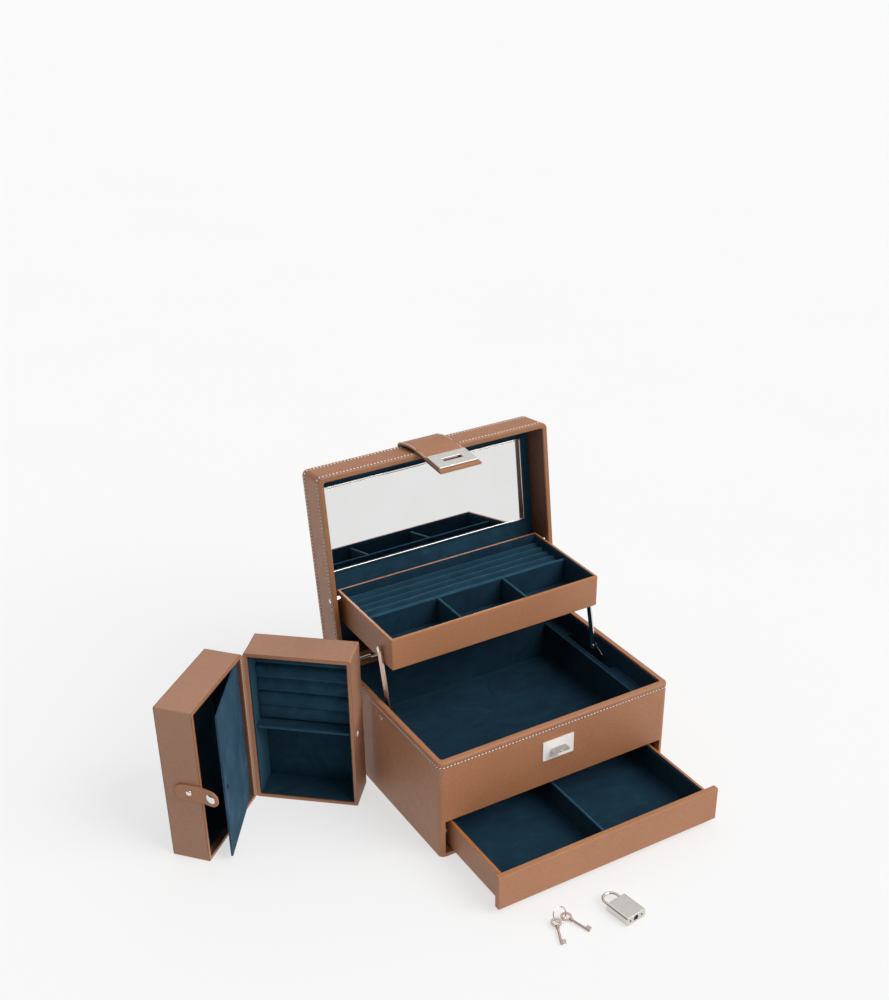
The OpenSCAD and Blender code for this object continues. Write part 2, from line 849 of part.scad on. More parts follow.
// Swings the free end of the tab outwards about its flex line
module in_tab() {
    in_cover() translate([travel_w + tab_t / 2, 0, tab_z]) rotate([0, 0, -tab_angle])
        translate([tab_play - tab_t / 2, 0, 0]) children();
}

module snap_tab() {
    color(leather) in_tab() rotate([0, 90, 0]) linear_extrude(tab_t) difference() {
        union() {
            translate([-tab_w / 2, 0.4]) square([tab_w, snap_y]);
            translate([0, snap_y]) circle(tab_w / 2);
        }
        translate([0, snap_y]) circle(stud_r + 0.7);
    }
}

module snap_cap() {
    color(steel) in_tab() translate([tab_t, snap_y, 0]) rotate([0, 90, 0]) dome(5.2, 1.6);
}

// Stiff suede flap over the cover's pocket, standing ajar
module in_flap() {
    in_cover() translate([flap_x, flap_y, 0]) rotate([0, 0, flap_ajar]) children();
}

module travel_flap() {
    h = travel_h - 2 * travel_wall - 3;
    color(suede) in_flap() difference() {
        translate([1, -flap_t / 2, travel_wall + 1.5]) cube([flap_l - 1, flap_t, h]);
        y_rod(-5, 5, flap_l - 9, tab_z, 2.6);
    }
}

// Small eyelet round the flap's finger hole
module flap_pull() {
    color(suede) in_flap() difference() {
        y_rod(-flap_t / 2 - 0.4, flap_t / 2 + 0.4, flap_l - 9, tab_z, 2.55);
        y_rod(-5, 5, flap_l - 9, tab_z, 1.9);
    }
}

// ---------- padlock ----------

leg_end = lock_l / 2 - 16;
lock_pin_x = 7;
leg_r = shackle_r + pivot_play;

module lock_body() {
    color(steel) in_lock() difference() {
        translate([0, 0, lock_t / 2]) rotate([90, 0, 0]) translate([0, 0, -lock_l / 2])
            linear_extrude(lock_l) round_rect(lock_w, lock_t, 2.2);
        for (sx = [-1, 1]) y_rod(leg_end - 0.3, lock_l / 2 + 1, sx * shackle_half, lock_t / 2, leg_r);
        y_rod(-lock_l / 2 - 1, -lock_l / 2 + 5, 0, lock_t / 2, 2.8);
        for (sx = [-1, 1]) y_rod(-lock_l / 2 - 1, -lock_l / 2 + 2, sx * lock_pin_x, lock_t / 2, 0.95);
    }
}

// Key plug in the end of the body, with its keyhole
module lock_plug() {
    color(steel) in_lock() difference() {
        y_rod(-lock_l / 2, -lock_l / 2 + 4.9, 0, lock_t / 2, 2.75);
        y_rod(-lock_l / 2 - 1, -lock_l / 2 + 3, 0, lock_t / 2 + 0.4, 1.1);
        translate([-0.5, -lock_l / 2 - 1, lock_t / 2 - 2.1]) cube([1, 4, 2.4]);
    }
}

module lock_pins() {
    color(steel) in_lock() for (sx = [-1, 1])
        y_rod(-lock_l / 2 - 0.3, -lock_l / 2 + 1.9, sx * lock_pin_x, lock_t / 2, 0.9);
}

// Bent bar with two legs in the body
module lock_shackle() {
    rise = lock_l / 2 + 5.5;
    color(steel) in_lock() union() {
        for (sx = [-1, 1]) y_rod(leg_end, rise, sx * shackle_half, lock_t / 2, shackle_r);
        translate([0, rise, lock_t / 2]) rotate_extrude(angle = 180)
            translate([shackle_half, 0]) circle(shackle_r);
    }
}

// ---------- keys ----------

// A key with its bow at the origin and its tip towards -y
module key() {
    shank_r = 1.25;
    tip_y = bow_r - key_l;
    difference() {
        union() {
            translate([0, 0, -bow_t / 2]) cylinder(h = bow_t, r = bow_r);
            y_rod(-bow_r + 1, tip_y, 0, 0, shank_r);
            y_rod(-bow_r + 1, -bow_r - 1.6, 0, 0, 1.9);
            translate([0, tip_y + 0.6, -0.6]) cube([4.4, 4.6, 1.2]);
        }
        translate([0, 0, -3]) cylinder(h = 6, r = bow_r - 2);
        y_rod(tip_y + 3, tip_y - 1, 0, 0, 0.6);
        translate([2.4, tip_y + 2, -3]) cube([1, 1, 6]);
    }
}

// Frame of the two keys: x along the line between their bows
module in_keys() {
    translate([keys_x, keys_y, 0]) rotate([0, 0, keys_turn]) children();
}

// Places a key's bow on side s of the ring and slopes it down to its tip
module hung_key(s, turn) {
    in_keys() translate([s * (bow_r + bow_gap / 2), 0, key_lift]) rotate([0, 0, turn - keys_turn])
        rotate([key_slope, 0, 0]) key();
}

// Wire ring that stands leaning through both bows
module key_ring() {
    color(steel) in_keys() translate([0, -(key_lift - wire_r) / tan(ring_lean), wire_r])
        rotate([ring_lean, 0, 0]) translate([0, ring_r, 0])
        rotate_extrude() translate([ring_r, 0]) circle(wire_r);
}

module key_one() { color(steel) hung_key(-1, key_turns[0]); }

module key_two() { color(steel) hung_key(1, key_turns[1]); }

// ---------- nodes ----------

base_walls();
base_bottom();
compartment_board();
base_lining();
ledge_left();
ledge_right();
hinge_base_leaf();
hinge_pin();
arm_brackets();
arm_rivets();
staple_plate();
staple_screws();
drawer_stop_screws();
lid_shell();
lid_lining();
mirror_node();  // mirror
mirror_trim();
hinge_lid_leaf();
lid_pivots();
strap_root();
strap_knuckle();
strap_tail();
slotted_plate();
plate_screws();
tray_box();
tray_lining();
tray_cross_divider();
tray_dividers();
tray_ring_rolls();
tray_pins();
arm_left();
arm_right();
drawer_front();
drawer_box();
drawer_lining();
drawer_divider();
drawer_pegs();
travel_body();
travel_body_lining();
travel_ring_rolls();
travel_shelf();
travel_stud();
travel_spine();
travel_cover();
travel_cover_lining();
tab_anchor();
travel_flap();
flap_pull();
snap_tab();
snap_cap();
lock_body();
lock_plug();
lock_pins();
lock_shackle();
key_ring();
key_one();
key_two();
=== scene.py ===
import bpy
import bmesh
import math
import numpy as np
from math import cos, sin, radians, pi
from mathutils import Matrix, Vector, noise


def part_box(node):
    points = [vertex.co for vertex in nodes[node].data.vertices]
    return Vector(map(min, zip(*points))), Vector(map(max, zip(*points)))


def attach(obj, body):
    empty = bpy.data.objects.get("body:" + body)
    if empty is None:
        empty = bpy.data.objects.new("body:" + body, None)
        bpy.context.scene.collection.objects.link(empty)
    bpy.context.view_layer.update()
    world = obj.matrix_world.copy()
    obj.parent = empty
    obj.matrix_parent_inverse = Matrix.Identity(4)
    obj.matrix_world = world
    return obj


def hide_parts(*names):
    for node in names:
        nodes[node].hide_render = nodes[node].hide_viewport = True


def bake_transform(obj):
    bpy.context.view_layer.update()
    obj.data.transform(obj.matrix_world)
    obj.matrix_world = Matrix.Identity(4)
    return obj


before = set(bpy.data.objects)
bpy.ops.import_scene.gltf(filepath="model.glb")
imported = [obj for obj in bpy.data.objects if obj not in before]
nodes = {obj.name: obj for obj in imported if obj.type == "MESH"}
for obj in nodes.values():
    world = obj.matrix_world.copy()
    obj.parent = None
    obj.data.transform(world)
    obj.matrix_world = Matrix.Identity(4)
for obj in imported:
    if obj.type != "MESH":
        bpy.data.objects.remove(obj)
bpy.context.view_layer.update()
scene = bpy.context.scene
MM = 0.001

# ---------- dimensions of the frame, in millimetres ----------
CASE_W, CASE_D, BASE_H, LID_H = 260.0, 194.0, 109.0, 38.0
SIDE_WALL, END_WALL, LID_WALL, LID_TOP = 5.5, 6.5, 5.0, 4.7
LID_Z = 109.7
HINGE = Vector((0, 98.7, 109.35))
LID_OPEN = 97.5
STRAP_Y, FLEX_Z, TAIL_LEAN = -99.4, 111.4, 12.0
STRAP_HALF, STRAP_T = 23.0, 2.4
TRAY_Y, TRAY_Z, TRAY_HALF = 9.67, 147.2, 118.25
TRAY_D, TRAY_H, TRAY_WALL, TRAY_FLOOR = 114.0, 33.5, 4.0, 3.0
LINING, ROLLS, TRAVEL_ROLL_H = 1.2, 5, 18.0
TRAVEL_W, TRAVEL_H, TRAVEL_D, TRAVEL_WALL = 103.2, 168.2, 38.4, 3.6
TAB_Z, TAB_T, TAB_HALF, TAB_ROOT, SNAP_Y = 80.0, 2.0, 8.5, -26.5, 11.5
# Stitch lines: how far they run from an edge, and how deep in their groove
SEAM, SUNK = 4.9, 0.08
# Camera: lens and shift as Blender takes them, angles in degrees, place in millimetres
LENS, SHIFT = 50.386, (-0.0155, 0.12)
CAMERA_TURN, CAMERA_DROP, CAMERA_ROLL = -30.5956, 30.8992, -0.558
CAMERA_AT = (-628.10, -978.82, 867.41)


def shift(x, y, z):
    return Matrix.Translation((x, y, z))


def turn(deg, axis):
    return Matrix.Rotation(radians(deg), 4, axis)


# Local frames, all in millimetres: shut lid to open lid, strap tail, travel case and so on
OPENED = shift(*HINGE) @ turn(-LID_OPEN, "X") @ shift(*-HINGE)
TAIL = OPENED @ shift(0, STRAP_Y, FLEX_Z) @ turn(TAIL_LEAN, "X") @ shift(0, -STRAP_Y, -FLEX_Z)
TRAVEL = shift(-238.8, 80.8, 0) @ turn(-40.3, "Z")
COVER = TRAVEL @ shift(-0.5, 0, 0) @ turn(-98.1, "Z") @ shift(0.5, 0, 0)
HERE = Matrix.Identity(4)


# ---------- materials ----------
def new_material(name):
    m = bpy.data.materials.new(name)
    m.use_nodes = True
    t = m.node_tree
    shader = t.nodes["Principled BSDF"]
    place = t.nodes.new("ShaderNodeTexCoord").outputs["Object"]
    return m, t, shader, place


def node(t, kind, ins=None, **props):
    n = t.nodes.new(kind)
    for k, v in props.items():
        setattr(n, k, v)
    for k, v in (ins or {}).items():
        if isinstance(v, bpy.types.NodeSocket):
            t.links.new(v, n.inputs[k])
        else:
            n.inputs[k].default_value = v
    return n


def noise_of(t, place, scale, detail=3.0, rough=0.5, distort=0.0):
    return node(t, "ShaderNodeTexNoise", {"Vector": place, "Scale": scale, "Detail": detail,
                                          "Roughness": rough, "Distortion": distort}).outputs["Fac"]


def stretched(t, place, scale):
    return node(t, "ShaderNodeMapping", {"Vector": place, "Scale": scale}).outputs["Vector"]


def ramp(t, fac, stops):
    r = node(t, "ShaderNodeValToRGB", {"Fac": fac})
    e = r.color_ramp.elements
    while len(e) < len(stops):
        e.new(0.5)
    for i, (p, c) in enumerate(stops):
        e[i].position = p
        e[i].color = (*c, 1) if len(c) == 3 else c
    return r.outputs["Color"]


def grey(v):
    return (v, v, v)


def mixed(t, fac, a, b, blend="MIX"):
    n = t.nodes.new("ShaderNodeMix")
    n.data_type, n.blend_type = "RGBA", blend
    for i, v in ((0, fac), (6, a), (7, b)):
        if isinstance(v, bpy.types.NodeSocket):
            t.links.new(v, n.inputs[i])
        elif i == 0:
            n.inputs[0].default_value = v
        else:
            n.inputs[i].default_value = (*v, 1)
    return n.outputs[2]


def bump(t, height, depth, strength, below=None):
    ins = {"Height": height, "Distance": depth * MM, "Strength": strength}
    if below is not None:
        ins["Normal"] = below
    return node(t, "ShaderNodeBump", ins).outputs["Normal"]


def leather(name, light, dark, cell=0.75, depth=0.05, rough=0.42, coat=0.12, mottle=0.5):
    m, t, s, place = new_material(name)
    wide = ramp(t, noise_of(t, place, 11.0, 4.0, 0.55, 0.3), [(0.34, light), (0.70, dark)])
    small = noise_of(t, place, 420.0, 3.0, 0.6)
    toned = mixed(t, mottle, wide, ramp(t, small, [(0.35, dark), (0.62, light)]), "MIX")
    pores = node(t, "ShaderNodeTexVoronoi", {"Vector": place, "Scale": 1000.0 / cell},
                 feature="DISTANCE_TO_EDGE").outputs["Distance"]
    creases = ramp(t, pores, [(0.0, grey(0.0)), (0.22, grey(1.0))])
    shade = ramp(t, creases, [(0.0, grey(0.86)), (1.0, grey(1.0))])
    t.links.new(mixed(t, 1.0, toned, shade, "MULTIPLY"), s.inputs["Base Color"])
    soft = bump(t, noise_of(t, place, 60.0, 3.0), 0.25, 0.35)
    fine = bump(t, creases, depth, 0.75, soft)
    t.links.new(bump(t, noise_of(t, place, 3200.0, 2.0), 0.02, 0.5, fine), s.inputs["Normal"])
    t.links.new(ramp(t, noise_of(t, place, 150.0, 4.0), [(0.3, grey(rough - 0.05)),
                                                         (0.7, grey(rough + 0.07))]), s.inputs["Roughness"])
    s.inputs["Specular IOR Level"].default_value = 0.45
    s.inputs["Coat Weight"].default_value = coat
    s.inputs["Coat Roughness"].default_value = 0.32
    return m


def suede(name, deep, mid, pale, nap=26.0, sheen=0.35, swirl=1.2):
    m, t, s, place = new_material(name)
    swept = stretched(t, place, (1.0, 1.6, 1.0))
    brush = noise_of(t, swept, nap, 5.0, 0.62, swirl)
    tone = ramp(t, brush, [(0.28, deep), (0.52, mid), (0.78, pale)])
    fibres = noise_of(t, stretched(t, place, (1.0, 0.35, 1.0)), 2600.0, 3.0, 0.7)
    t.links.new(mixed(t, 0.35, tone, ramp(t, fibres, [(0.3, deep), (0.7, pale)])), s.inputs["Base Color"])
    low = bump(t, brush, 0.15, 0.3)
    t.links.new(bump(t, fibres, 0.06, 0.8, low), s.inputs["Normal"])
    s.inputs["Roughness"].default_value = 0.96
    s.inputs["Specular IOR Level"].default_value = 0.12
    s.inputs["Sheen Weight"].default_value = sheen
    s.inputs["Sheen Roughness"].default_value = 0.45
    s.inputs["Sheen Tint"].default_value = (0.22, 0.58, 0.82, 1)
    return m


def metal(name, colour, rough=0.16, brushed=(1.0, 1.0, 1.0), scratch=0.5, metallic=1.0):
    m, t, s, place = new_material(name)
    s.inputs["Metallic"].default_value = metallic
    hair = noise_of(t, stretched(t, place, brushed), 1800.0, 4.0, 0.7)
    cloud = noise_of(t, place, 90.0, 3.0)
    t.links.new(mixed(t, 0.5, ramp(t, cloud, [(0.3, tuple(c * 0.93 for c in colour)), (0.7, colour)]),
                      ramp(t, hair, [(0.35, tuple(c * 0.9 for c in colour)), (0.65, colour)])),
                s.inputs["Base Color"])
    t.links.new(ramp(t, hair, [(0.3, grey(rough * 0.75)), (0.7, grey(rough * 1.35))]), s.inputs["Roughness"])
    t.links.new(bump(t, hair, 0.01, scratch), s.inputs["Normal"])
    return m


def thread_material():
    m, t, s, place = new_material("cream_thread")
    twist = node(t, "ShaderNodeTexWave", {"Vector": place, "Scale": 700.0, "Distortion": 1.5,
                                          "Detail": 1.0}, bands_direction="DIAGONAL").outputs["Fac"]
    t.links.new(ramp(t, twist, [(0.0, (0.78, 0.72, 0.64)), (1.0, (0.96, 0.92, 0.86))]),
                s.inputs["Base Color"])
    t.links.new(bump(t, twist, 0.06, 0.6), s.inputs["Normal"])
    s.inputs["Roughness"].default_value = 0.62
    s.inputs["Sheen Weight"].default_value = 0.2
    return m


def mirror_material():
    m, t, s, place = new_material("mirror_glass")
    s.inputs["Metallic"].default_value = 1.0
    haze = noise_of(t, place, 22.0, 4.0)
    t.links.new(ramp(t, haze, [(0.3, (0.775, 0.775, 0.77)), (0.7, (0.80, 0.80, 0.80))]),
                s.inputs["Base Color"])
    t.links.new(ramp(t, haze, [(0.35, grey(0.008)), (0.75, grey(0.025))]), s.inputs["Roughness"])
    return m


TAN = leather("tan_leather", (0.450, 0.198, 0.094), (0.375, 0.158, 0.073), cell=1.15, depth=0.14, coat=0.05)
EDGE = leather("edge_leather", (0.44, 0.185, 0.070), (0.37, 0.145, 0.050), cell=0.5, depth=0.03, rough=0.36,
               coat=0.25)
CUT = leather("cut_edge", (0.50, 0.175, 0.036), (0.41, 0.140, 0.028), cell=0.4, depth=0.02, rough=0.35,
              coat=0.3)
BAY = leather("bay_leather", (0.105, 0.046, 0.026), (0.080, 0.035, 0.020), rough=0.55, coat=0.0)
INNER = leather("inner_leather", (0.205, 0.095, 0.055), (0.155, 0.070, 0.040), rough=0.5, coat=0.0)
MATTE = leather("travel_leather", (0.415, 0.216, 0.134), (0.358, 0.182, 0.110), cell=1.0, depth=0.11,
                rough=0.56, coat=0.0)
MOUTH = leather("lid_mouth_leather", (0.34, 0.145, 0.060), (0.28, 0.115, 0.045), rough=0.44, coat=0.08)
RIM = leather("rim_leather", (0.435, 0.188, 0.086), (0.375, 0.158, 0.070), rough=0.40, coat=0.10)
FOLD = leather("fold_edge", (0.25, 0.115, 0.062), (0.20, 0.090, 0.048), cell=0.5, depth=0.03, rough=0.5,
               coat=0.0)
# painted shade: a dark band along each stitch groove, standing in for the shadow in the stitch holes
GROOVE_SHADE = leather("stitch_groove_painted_shade", (0.150, 0.058, 0.026), (0.105, 0.040, 0.018), cell=0.5, depth=0.02,
                 rough=0.6, coat=0.0)
# dark leather for the burnished cut edges, also used as painted shade on the strap's edges and in its slot
DARK_EDGE_AND_SHADE = leather("burnished_edge_and_painted_shade", (0.14, 0.055, 0.025), (0.10, 0.038, 0.018), cell=0.5, depth=0.02,
                    rough=0.4)
SUEDE = suede("navy_suede", (0.0052, 0.0150, 0.030), (0.0078, 0.029, 0.053), (0.0125, 0.049, 0.085),
              sheen=0.20)
# a lighter copy of the navy suede with more sheen: painted light on the tray rolls, the shelf and the body
# lining
SUEDE_LIT = suede("navy_suede_lit", (0.0048, 0.017, 0.031), (0.0080, 0.033, 0.056), (0.0150, 0.058, 0.092),
                 34.0, 0.34)
# a still lighter copy of the navy suede: painted light on the lid lining and the travel rolls
SUEDE_BRIGHTER_LIT = suede("navy_suede_rolls", (0.0075, 0.024, 0.044), (0.0125, 0.046, 0.080),
                   (0.0220, 0.080, 0.128), 34.0, 0.34)
NICKEL = metal("polished_nickel", (0.80, 0.765, 0.735), 0.13)
KEYED = metal("key_metal", (0.60, 0.485, 0.41), 0.22)
DARK_METAL = metal("dark_metal", (0.075, 0.07, 0.065), 0.35)
LOCKED = metal("padlock_metal", (0.70, 0.67, 0.62), 0.10)
BRUSHED = metal("brushed_nickel", (0.77, 0.735, 0.70), 0.27, (0.12, 1.0, 1.0), 0.5)
# satin nickel made near-white and hardly metallic: painted bright reflection on the staple plate, screws and
# stud
SATIN_PAINTED_REFLECTION = metal("satin_nickel_painted_reflection", (1.0, 0.965, 0.94), 0.42, (1.0, 1.0, 1.0), 0.6, 0.12)
GRAINED = metal("grained_nickel", (0.40, 0.385, 0.355), 0.5, (0.5, 1.0, 1.0), 2.0, 0.75)
# nickel tinted orange-brown: painted reflection of the tan leather, used on the left arm
LEATHER_REFLECTING_NICKEL = metal("nickel_painted_leather_reflection", (0.72, 0.50, 0.40), 0.24)
FLAP_SUEDE = suede("flap_suede", (0.0050, 0.020, 0.044), (0.0160, 0.050, 0.088), (0.064, 0.122, 0.175),
                   30.0, 0.10, 0.35)
# lighter suede for the divider tops: painted highlight
SUEDE_EDGE_HIGHLIGHT = suede("navy_suede_edge_highlight", (0.0090, 0.034, 0.060), (0.0180, 0.068, 0.110), (0.030, 0.100, 0.155),
                   40.0, 0.35)
# near-black: painted shade inside the flap's pull eyelet
EYELET_SHADE = leather("eyelet_painted_shade", (0.012, 0.012, 0.014), (0.008, 0.008, 0.010), cell=0.5, depth=0.02, rough=0.5,
              coat=0.0)
THREAD = thread_material()
MIRROR = mirror_material()
SLOTS = {"tan_leather": (TAN, INNER, BAY, MATTE, THREAD, RIM),
         "edge_leather": (EDGE, CUT, DARK_EDGE_AND_SHADE, MOUTH, FOLD, GROOVE_SHADE),
         "navy_suede": (SUEDE, SUEDE_LIT, SUEDE_BRIGHTER_LIT, FLAP_SUEDE, SUEDE_EDGE_HIGHLIGHT, EYELET_SHADE),
         "polished_nickel": (NICKEL, BRUSHED, LEATHER_REFLECTING_NICKEL, SATIN_PAINTED_REFLECTION, GRAINED, KEYED, DARK_METAL, LOCKED),
         "mirror_glass": (MIRROR,)}


# ---------- mesh helpers ----------
def make(name, bm, mats, body=None, stands_for=(), sharp=38.0):
    """Makes an object from bm, in millimetres, smooth except at its sharp edges."""
    mats = mats if isinstance(mats, (list, tuple)) else [mats]
    bmesh.ops.recalc_face_normals(bm, faces=bm.faces)
    for f in bm.faces:
        f.smooth = True
    for e in bm.edges:
        e.smooth = not (len(e.link_faces) == 2 and e.calc_face_angle(0) > radians(sharp))
    me = bpy.data.meshes.new(name)
    bmesh.ops.scale(bm, vec=(MM, MM, MM), verts=bm.verts)
    bm.to_mesh(me)
    bm.free()
    for m in mats:
        me.materials.append(m)
    o = bpy.data.objects.new(name, me)
    scene.collection.objects.link(o)
    w = o.modifiers.new("even", "WEIGHTED_NORMAL")
    w.keep_sharp, w.weight = True, 60
    if stands_for:
        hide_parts(*stands_for)
    for slot, members in SLOTS.items():
        mats[0] in members
    if body:
        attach(o, body)
    return o


def fetch(name):
    """A clean copy of a CAD node's mesh, in millimetres."""
    bm = bmesh.new()
    bm.from_mesh(nodes[name].data)
    bmesh.ops.scale(bm, vec=(1000, 1000, 1000), verts=bm.verts)
    bmesh.ops.remove_doubles(bm, verts=bm.verts, dist=0.003)
    bmesh.ops.dissolve_limit(bm, angle_limit=radians(0.5), verts=bm.verts, edges=bm.edges,
                             use_dissolve_boundaries=False)
    return bm


def rounded(bm, r, segments=3, above=28.0):
    edges = [e for e in bm.edges if len(e.link_faces) == 2 and e.calc_face_angle(0) > radians(above)]
    bmesh.ops.bevel(bm, geom=edges, offset=r, segments=segments, profile=0.5, affect="EDGES",
                    clamp_overlap=True)
    bmesh.ops.remove_doubles(bm, verts=bm.verts, dist=0.002)
    return bm


def softened(name, mats, body, r, segments=3, title=None, above=28.0):
    """Stands for a CAD node with its edges rounded."""
    return make(title or name + "_finished", rounded(fetch(name), r, segments, above), mats, body, [name])


def suede_divider(name, mat, body, r=1.2, facing=(0, 0, 1)):
    """A suede-covered divider whose upper edge gets a lighter suede as a painted highlight."""
    bm = rounded(fetch(name), r, 4)
    bm.normal_update()
    # small faces turned towards facing get the lighter suede: painted highlight
    for f in bm.faces:
        f.material_index = 1 if f.normal.dot(Vector(facing)) > 0.35 and f.calc_area() < 1200 else 0
    return make(name + "_finished", bm, [mat, SUEDE_EDGE_HIGHLIGHT], body, [name])


def ring(hx, hy, r, n=6):
    r = max(min(r, hx, hy), 0.05)
    out = []
    for cx, cy, a0 in ((hx - r, -hy + r, -90), (hx - r, hy - r, 0), (-hx + r, hy - r, 90),
                       (-hx + r, -hy + r, 180)):
        out += [(cx + r * cos(radians(a0 + 90 * i / n)),
                 cy + r * sin(radians(a0 + 90 * i / n))) for i in range(n + 1)]
    return out


def tub(hx, hy, rings, place=HERE, steps=6):
    """Lofts rings (inset x, inset y, z, radius, material) of a rounded rectangle and caps both ends."""
    bm = bmesh.new()
    loops = []
    for ix, iy, z, r, _ in rings:
        loops.append([bm.verts.new(place @ Vector((x, y, z))) for x, y in ring(hx - ix, hy - iy, r, steps)])
    for a in range(len(loops) - 1):
        A, B = loops[a], loops[a + 1]
        for i in range(len(A)):
            j = (i + 1) % len(A)
            f = bm.faces.new((A[i], A[j], B[j], B[i]))
            f.material_index = rings[a][4]
    bm.faces.new(loops[0]).material_index = rings[0][4]
    bm.faces.new(loops[-1]).material_index = rings[-2][4]
    bmesh.ops.remove_doubles(bm, verts=bm.verts, dist=0.004)
    return bm


def loft(sections):
    """Skins closed cross-sections, each a list of points, and caps both ends."""
    bm = bmesh.new()
    loops = [[bm.verts.new(p) for p in s] for s in sections]
    for A, B in zip(loops, loops[1:]):
        for i in range(len(A)):
            j = (i + 1) % len(A)
            bm.faces.new((A[i], A[j], B[j], B[i]))
    bm.faces.new(loops[0])
    bm.faces.new(loops[-1])
    return bm


def bored(bm, place, r, length, n=40):
    """Drills a round hole along place's z axis through a form."""
    drill = loft([[place @ Vector((r * cos(2 * pi * i / n), r * sin(2 * pi * i / n), z)) for i in range(n)]
                  for z in (-length / 2, length / 2)])
    pair = []
    for form in (bm, drill):
        bmesh.ops.recalc_face_normals(form, faces=form.faces)
        me = bpy.data.meshes.new("cut")
        form.to_mesh(me)
        form.free()
        pair.append(bpy.data.objects.new("cut", me))
        scene.collection.objects.link(pair[-1])
    cut = pair[0].modifiers.new("hole", "BOOLEAN")
    cut.operation, cut.solver, cut.object = "DIFFERENCE", "EXACT", pair[1]
    graph = bpy.context.evaluated_depsgraph_get()
    done = bpy.data.meshes.new_from_object(pair[0].evaluated_get(graph))
    out = bmesh.new()
    out.from_mesh(done)
    for o in pair:
        bpy.data.objects.remove(o)
    bpy.data.meshes.remove(done)
    return out


def strip_section(w, t, r=0.7, n=3, across=8):
    """Cross-section of a strap: w wide along x and t thick, centred."""
    pts = ring(w / 2, t / 2, min(r, t / 2 - 0.01), n)
    out = []
    for i, (a, b) in enumerate(zip(pts, pts[1:] + pts[:1])):
        k = across if i % (2 * n + 2) == 2 * n + 1 else 1
        out += [(a[0] + (b[0] - a[0]) * i / k, a[1] + (b[1] - a[1]) * i / k) for i in range(k)]
    return out


def stitches(name, paths, body, pitch=3.7, r=0.49, slant=13.0, fill=0.72):
    """Saddle stitches along paths of (point, outward direction), in millimetres."""
    u = np.array([-0.5, -0.42, -0.2, 0.2, 0.42, 0.5])
    size = np.array([0.25, 0.75, 1.0, 1.0, 0.75, 0.25])
    rise = np.array([-0.8, -0.1, 0.45, 0.45, -0.1, -0.8])
    verts, faces = [], []
    for k, (pts, normals) in enumerate(paths):
        pts, normals = np.array([tuple(p) for p in pts], float), np.array([tuple(q) for q in normals], float)
        seg = np.linalg.norm(np.diff(pts, axis=0), axis=1)
        s = np.concatenate([[0], np.cumsum(seg)])
        n = max(1, int(round(s[-1] / pitch)))
        step = s[-1] / n
        mids = (np.arange(n) + 0.5) * step

        def at(v):
            return np.stack([np.interp(v, s, pts[:, j]) for j in range(3)], 1)
        c, a, b = at(mids), at(mids - step * 0.3), at(mids + step * 0.3)
        nn = np.stack([np.interp(mids, s, normals[:, j]) for j in range(3)], 1)
        t = b - a
        t /= np.linalg.norm(t, axis=1)[:, None]
        nn -= t * np.sum(nn * t, 1)[:, None]
        nn /= np.linalg.norm(nn, axis=1)[:, None]
        side = np.cross(nn, t)
        wobble = np.sin(np.arange(n) * 2.399 + k) * 2.0
        ang = np.radians(slant + wobble)
        t, side = t * np.cos(ang)[:, None] + side * np.sin(ang)[:, None], side * np.cos(ang)[:,
                None] - t * np.sin(ang)[:, None]
        for i in range(n):
            first = len(verts)
            for uu, sz, up in zip(u, size, rise):
                o = c[i] + t[i] * uu * step * fill + nn[i] * up * r
                for q in range(6):
                    w = q * pi / 3
                    verts.append(o + (side[i] * cos(w) + nn[i] * sin(w)) * r * sz)
            for g in range(5):
                for q in range(6):
                    h = (q + 1) % 6
                    faces.append((first + g * 6 + q, first + g * 6 + h, first + g * 6 + 6 + h,
                                  first + g * 6 + 6 + q))
            faces.append(tuple(first + q for q in range(5, -1, -1)))
            faces.append(tuple(first + 30 + q for q in range(6)))
    me = bpy.data.meshes.new(name)
    me.from_pydata([tuple(v * MM) for v in verts], [], faces)
    me.polygons.foreach_set("use_smooth", [True] * len(me.polygons))
    me.materials.append(THREAD)
    o = bpy.data.objects.new(name, me)
    scene.collection.objects.link(o)
    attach(o, body)


def loop_path(hx, hy, r, z, place=HERE, inset=0.0):
    """A closed path round a rounded rectangle with its outward directions."""
    outer = ring(hx - inset, hy - inset, r, 8)
    pts, nrm = [], []
    for i, (x, y) in enumerate(outer):
        corner, k = divmod(i, 9)
        a = radians(-90 + 90 * corner + 90 * k / 8)
        pts.append(place @ Vector((x, y, z)))
        nrm.append((place.to_3x3() @ Vector((cos(a), sin(a), 0))))
    pts.append(pts[0])
    nrm.append(nrm[0])
    return pts, nrm


def line_path(a, b, normal, place):
    """A straight path from a to b with its outward direction."""
    return [place @ Vector(a), place @ Vector(b)], [place.to_3x3() @ Vector(normal)] * 2


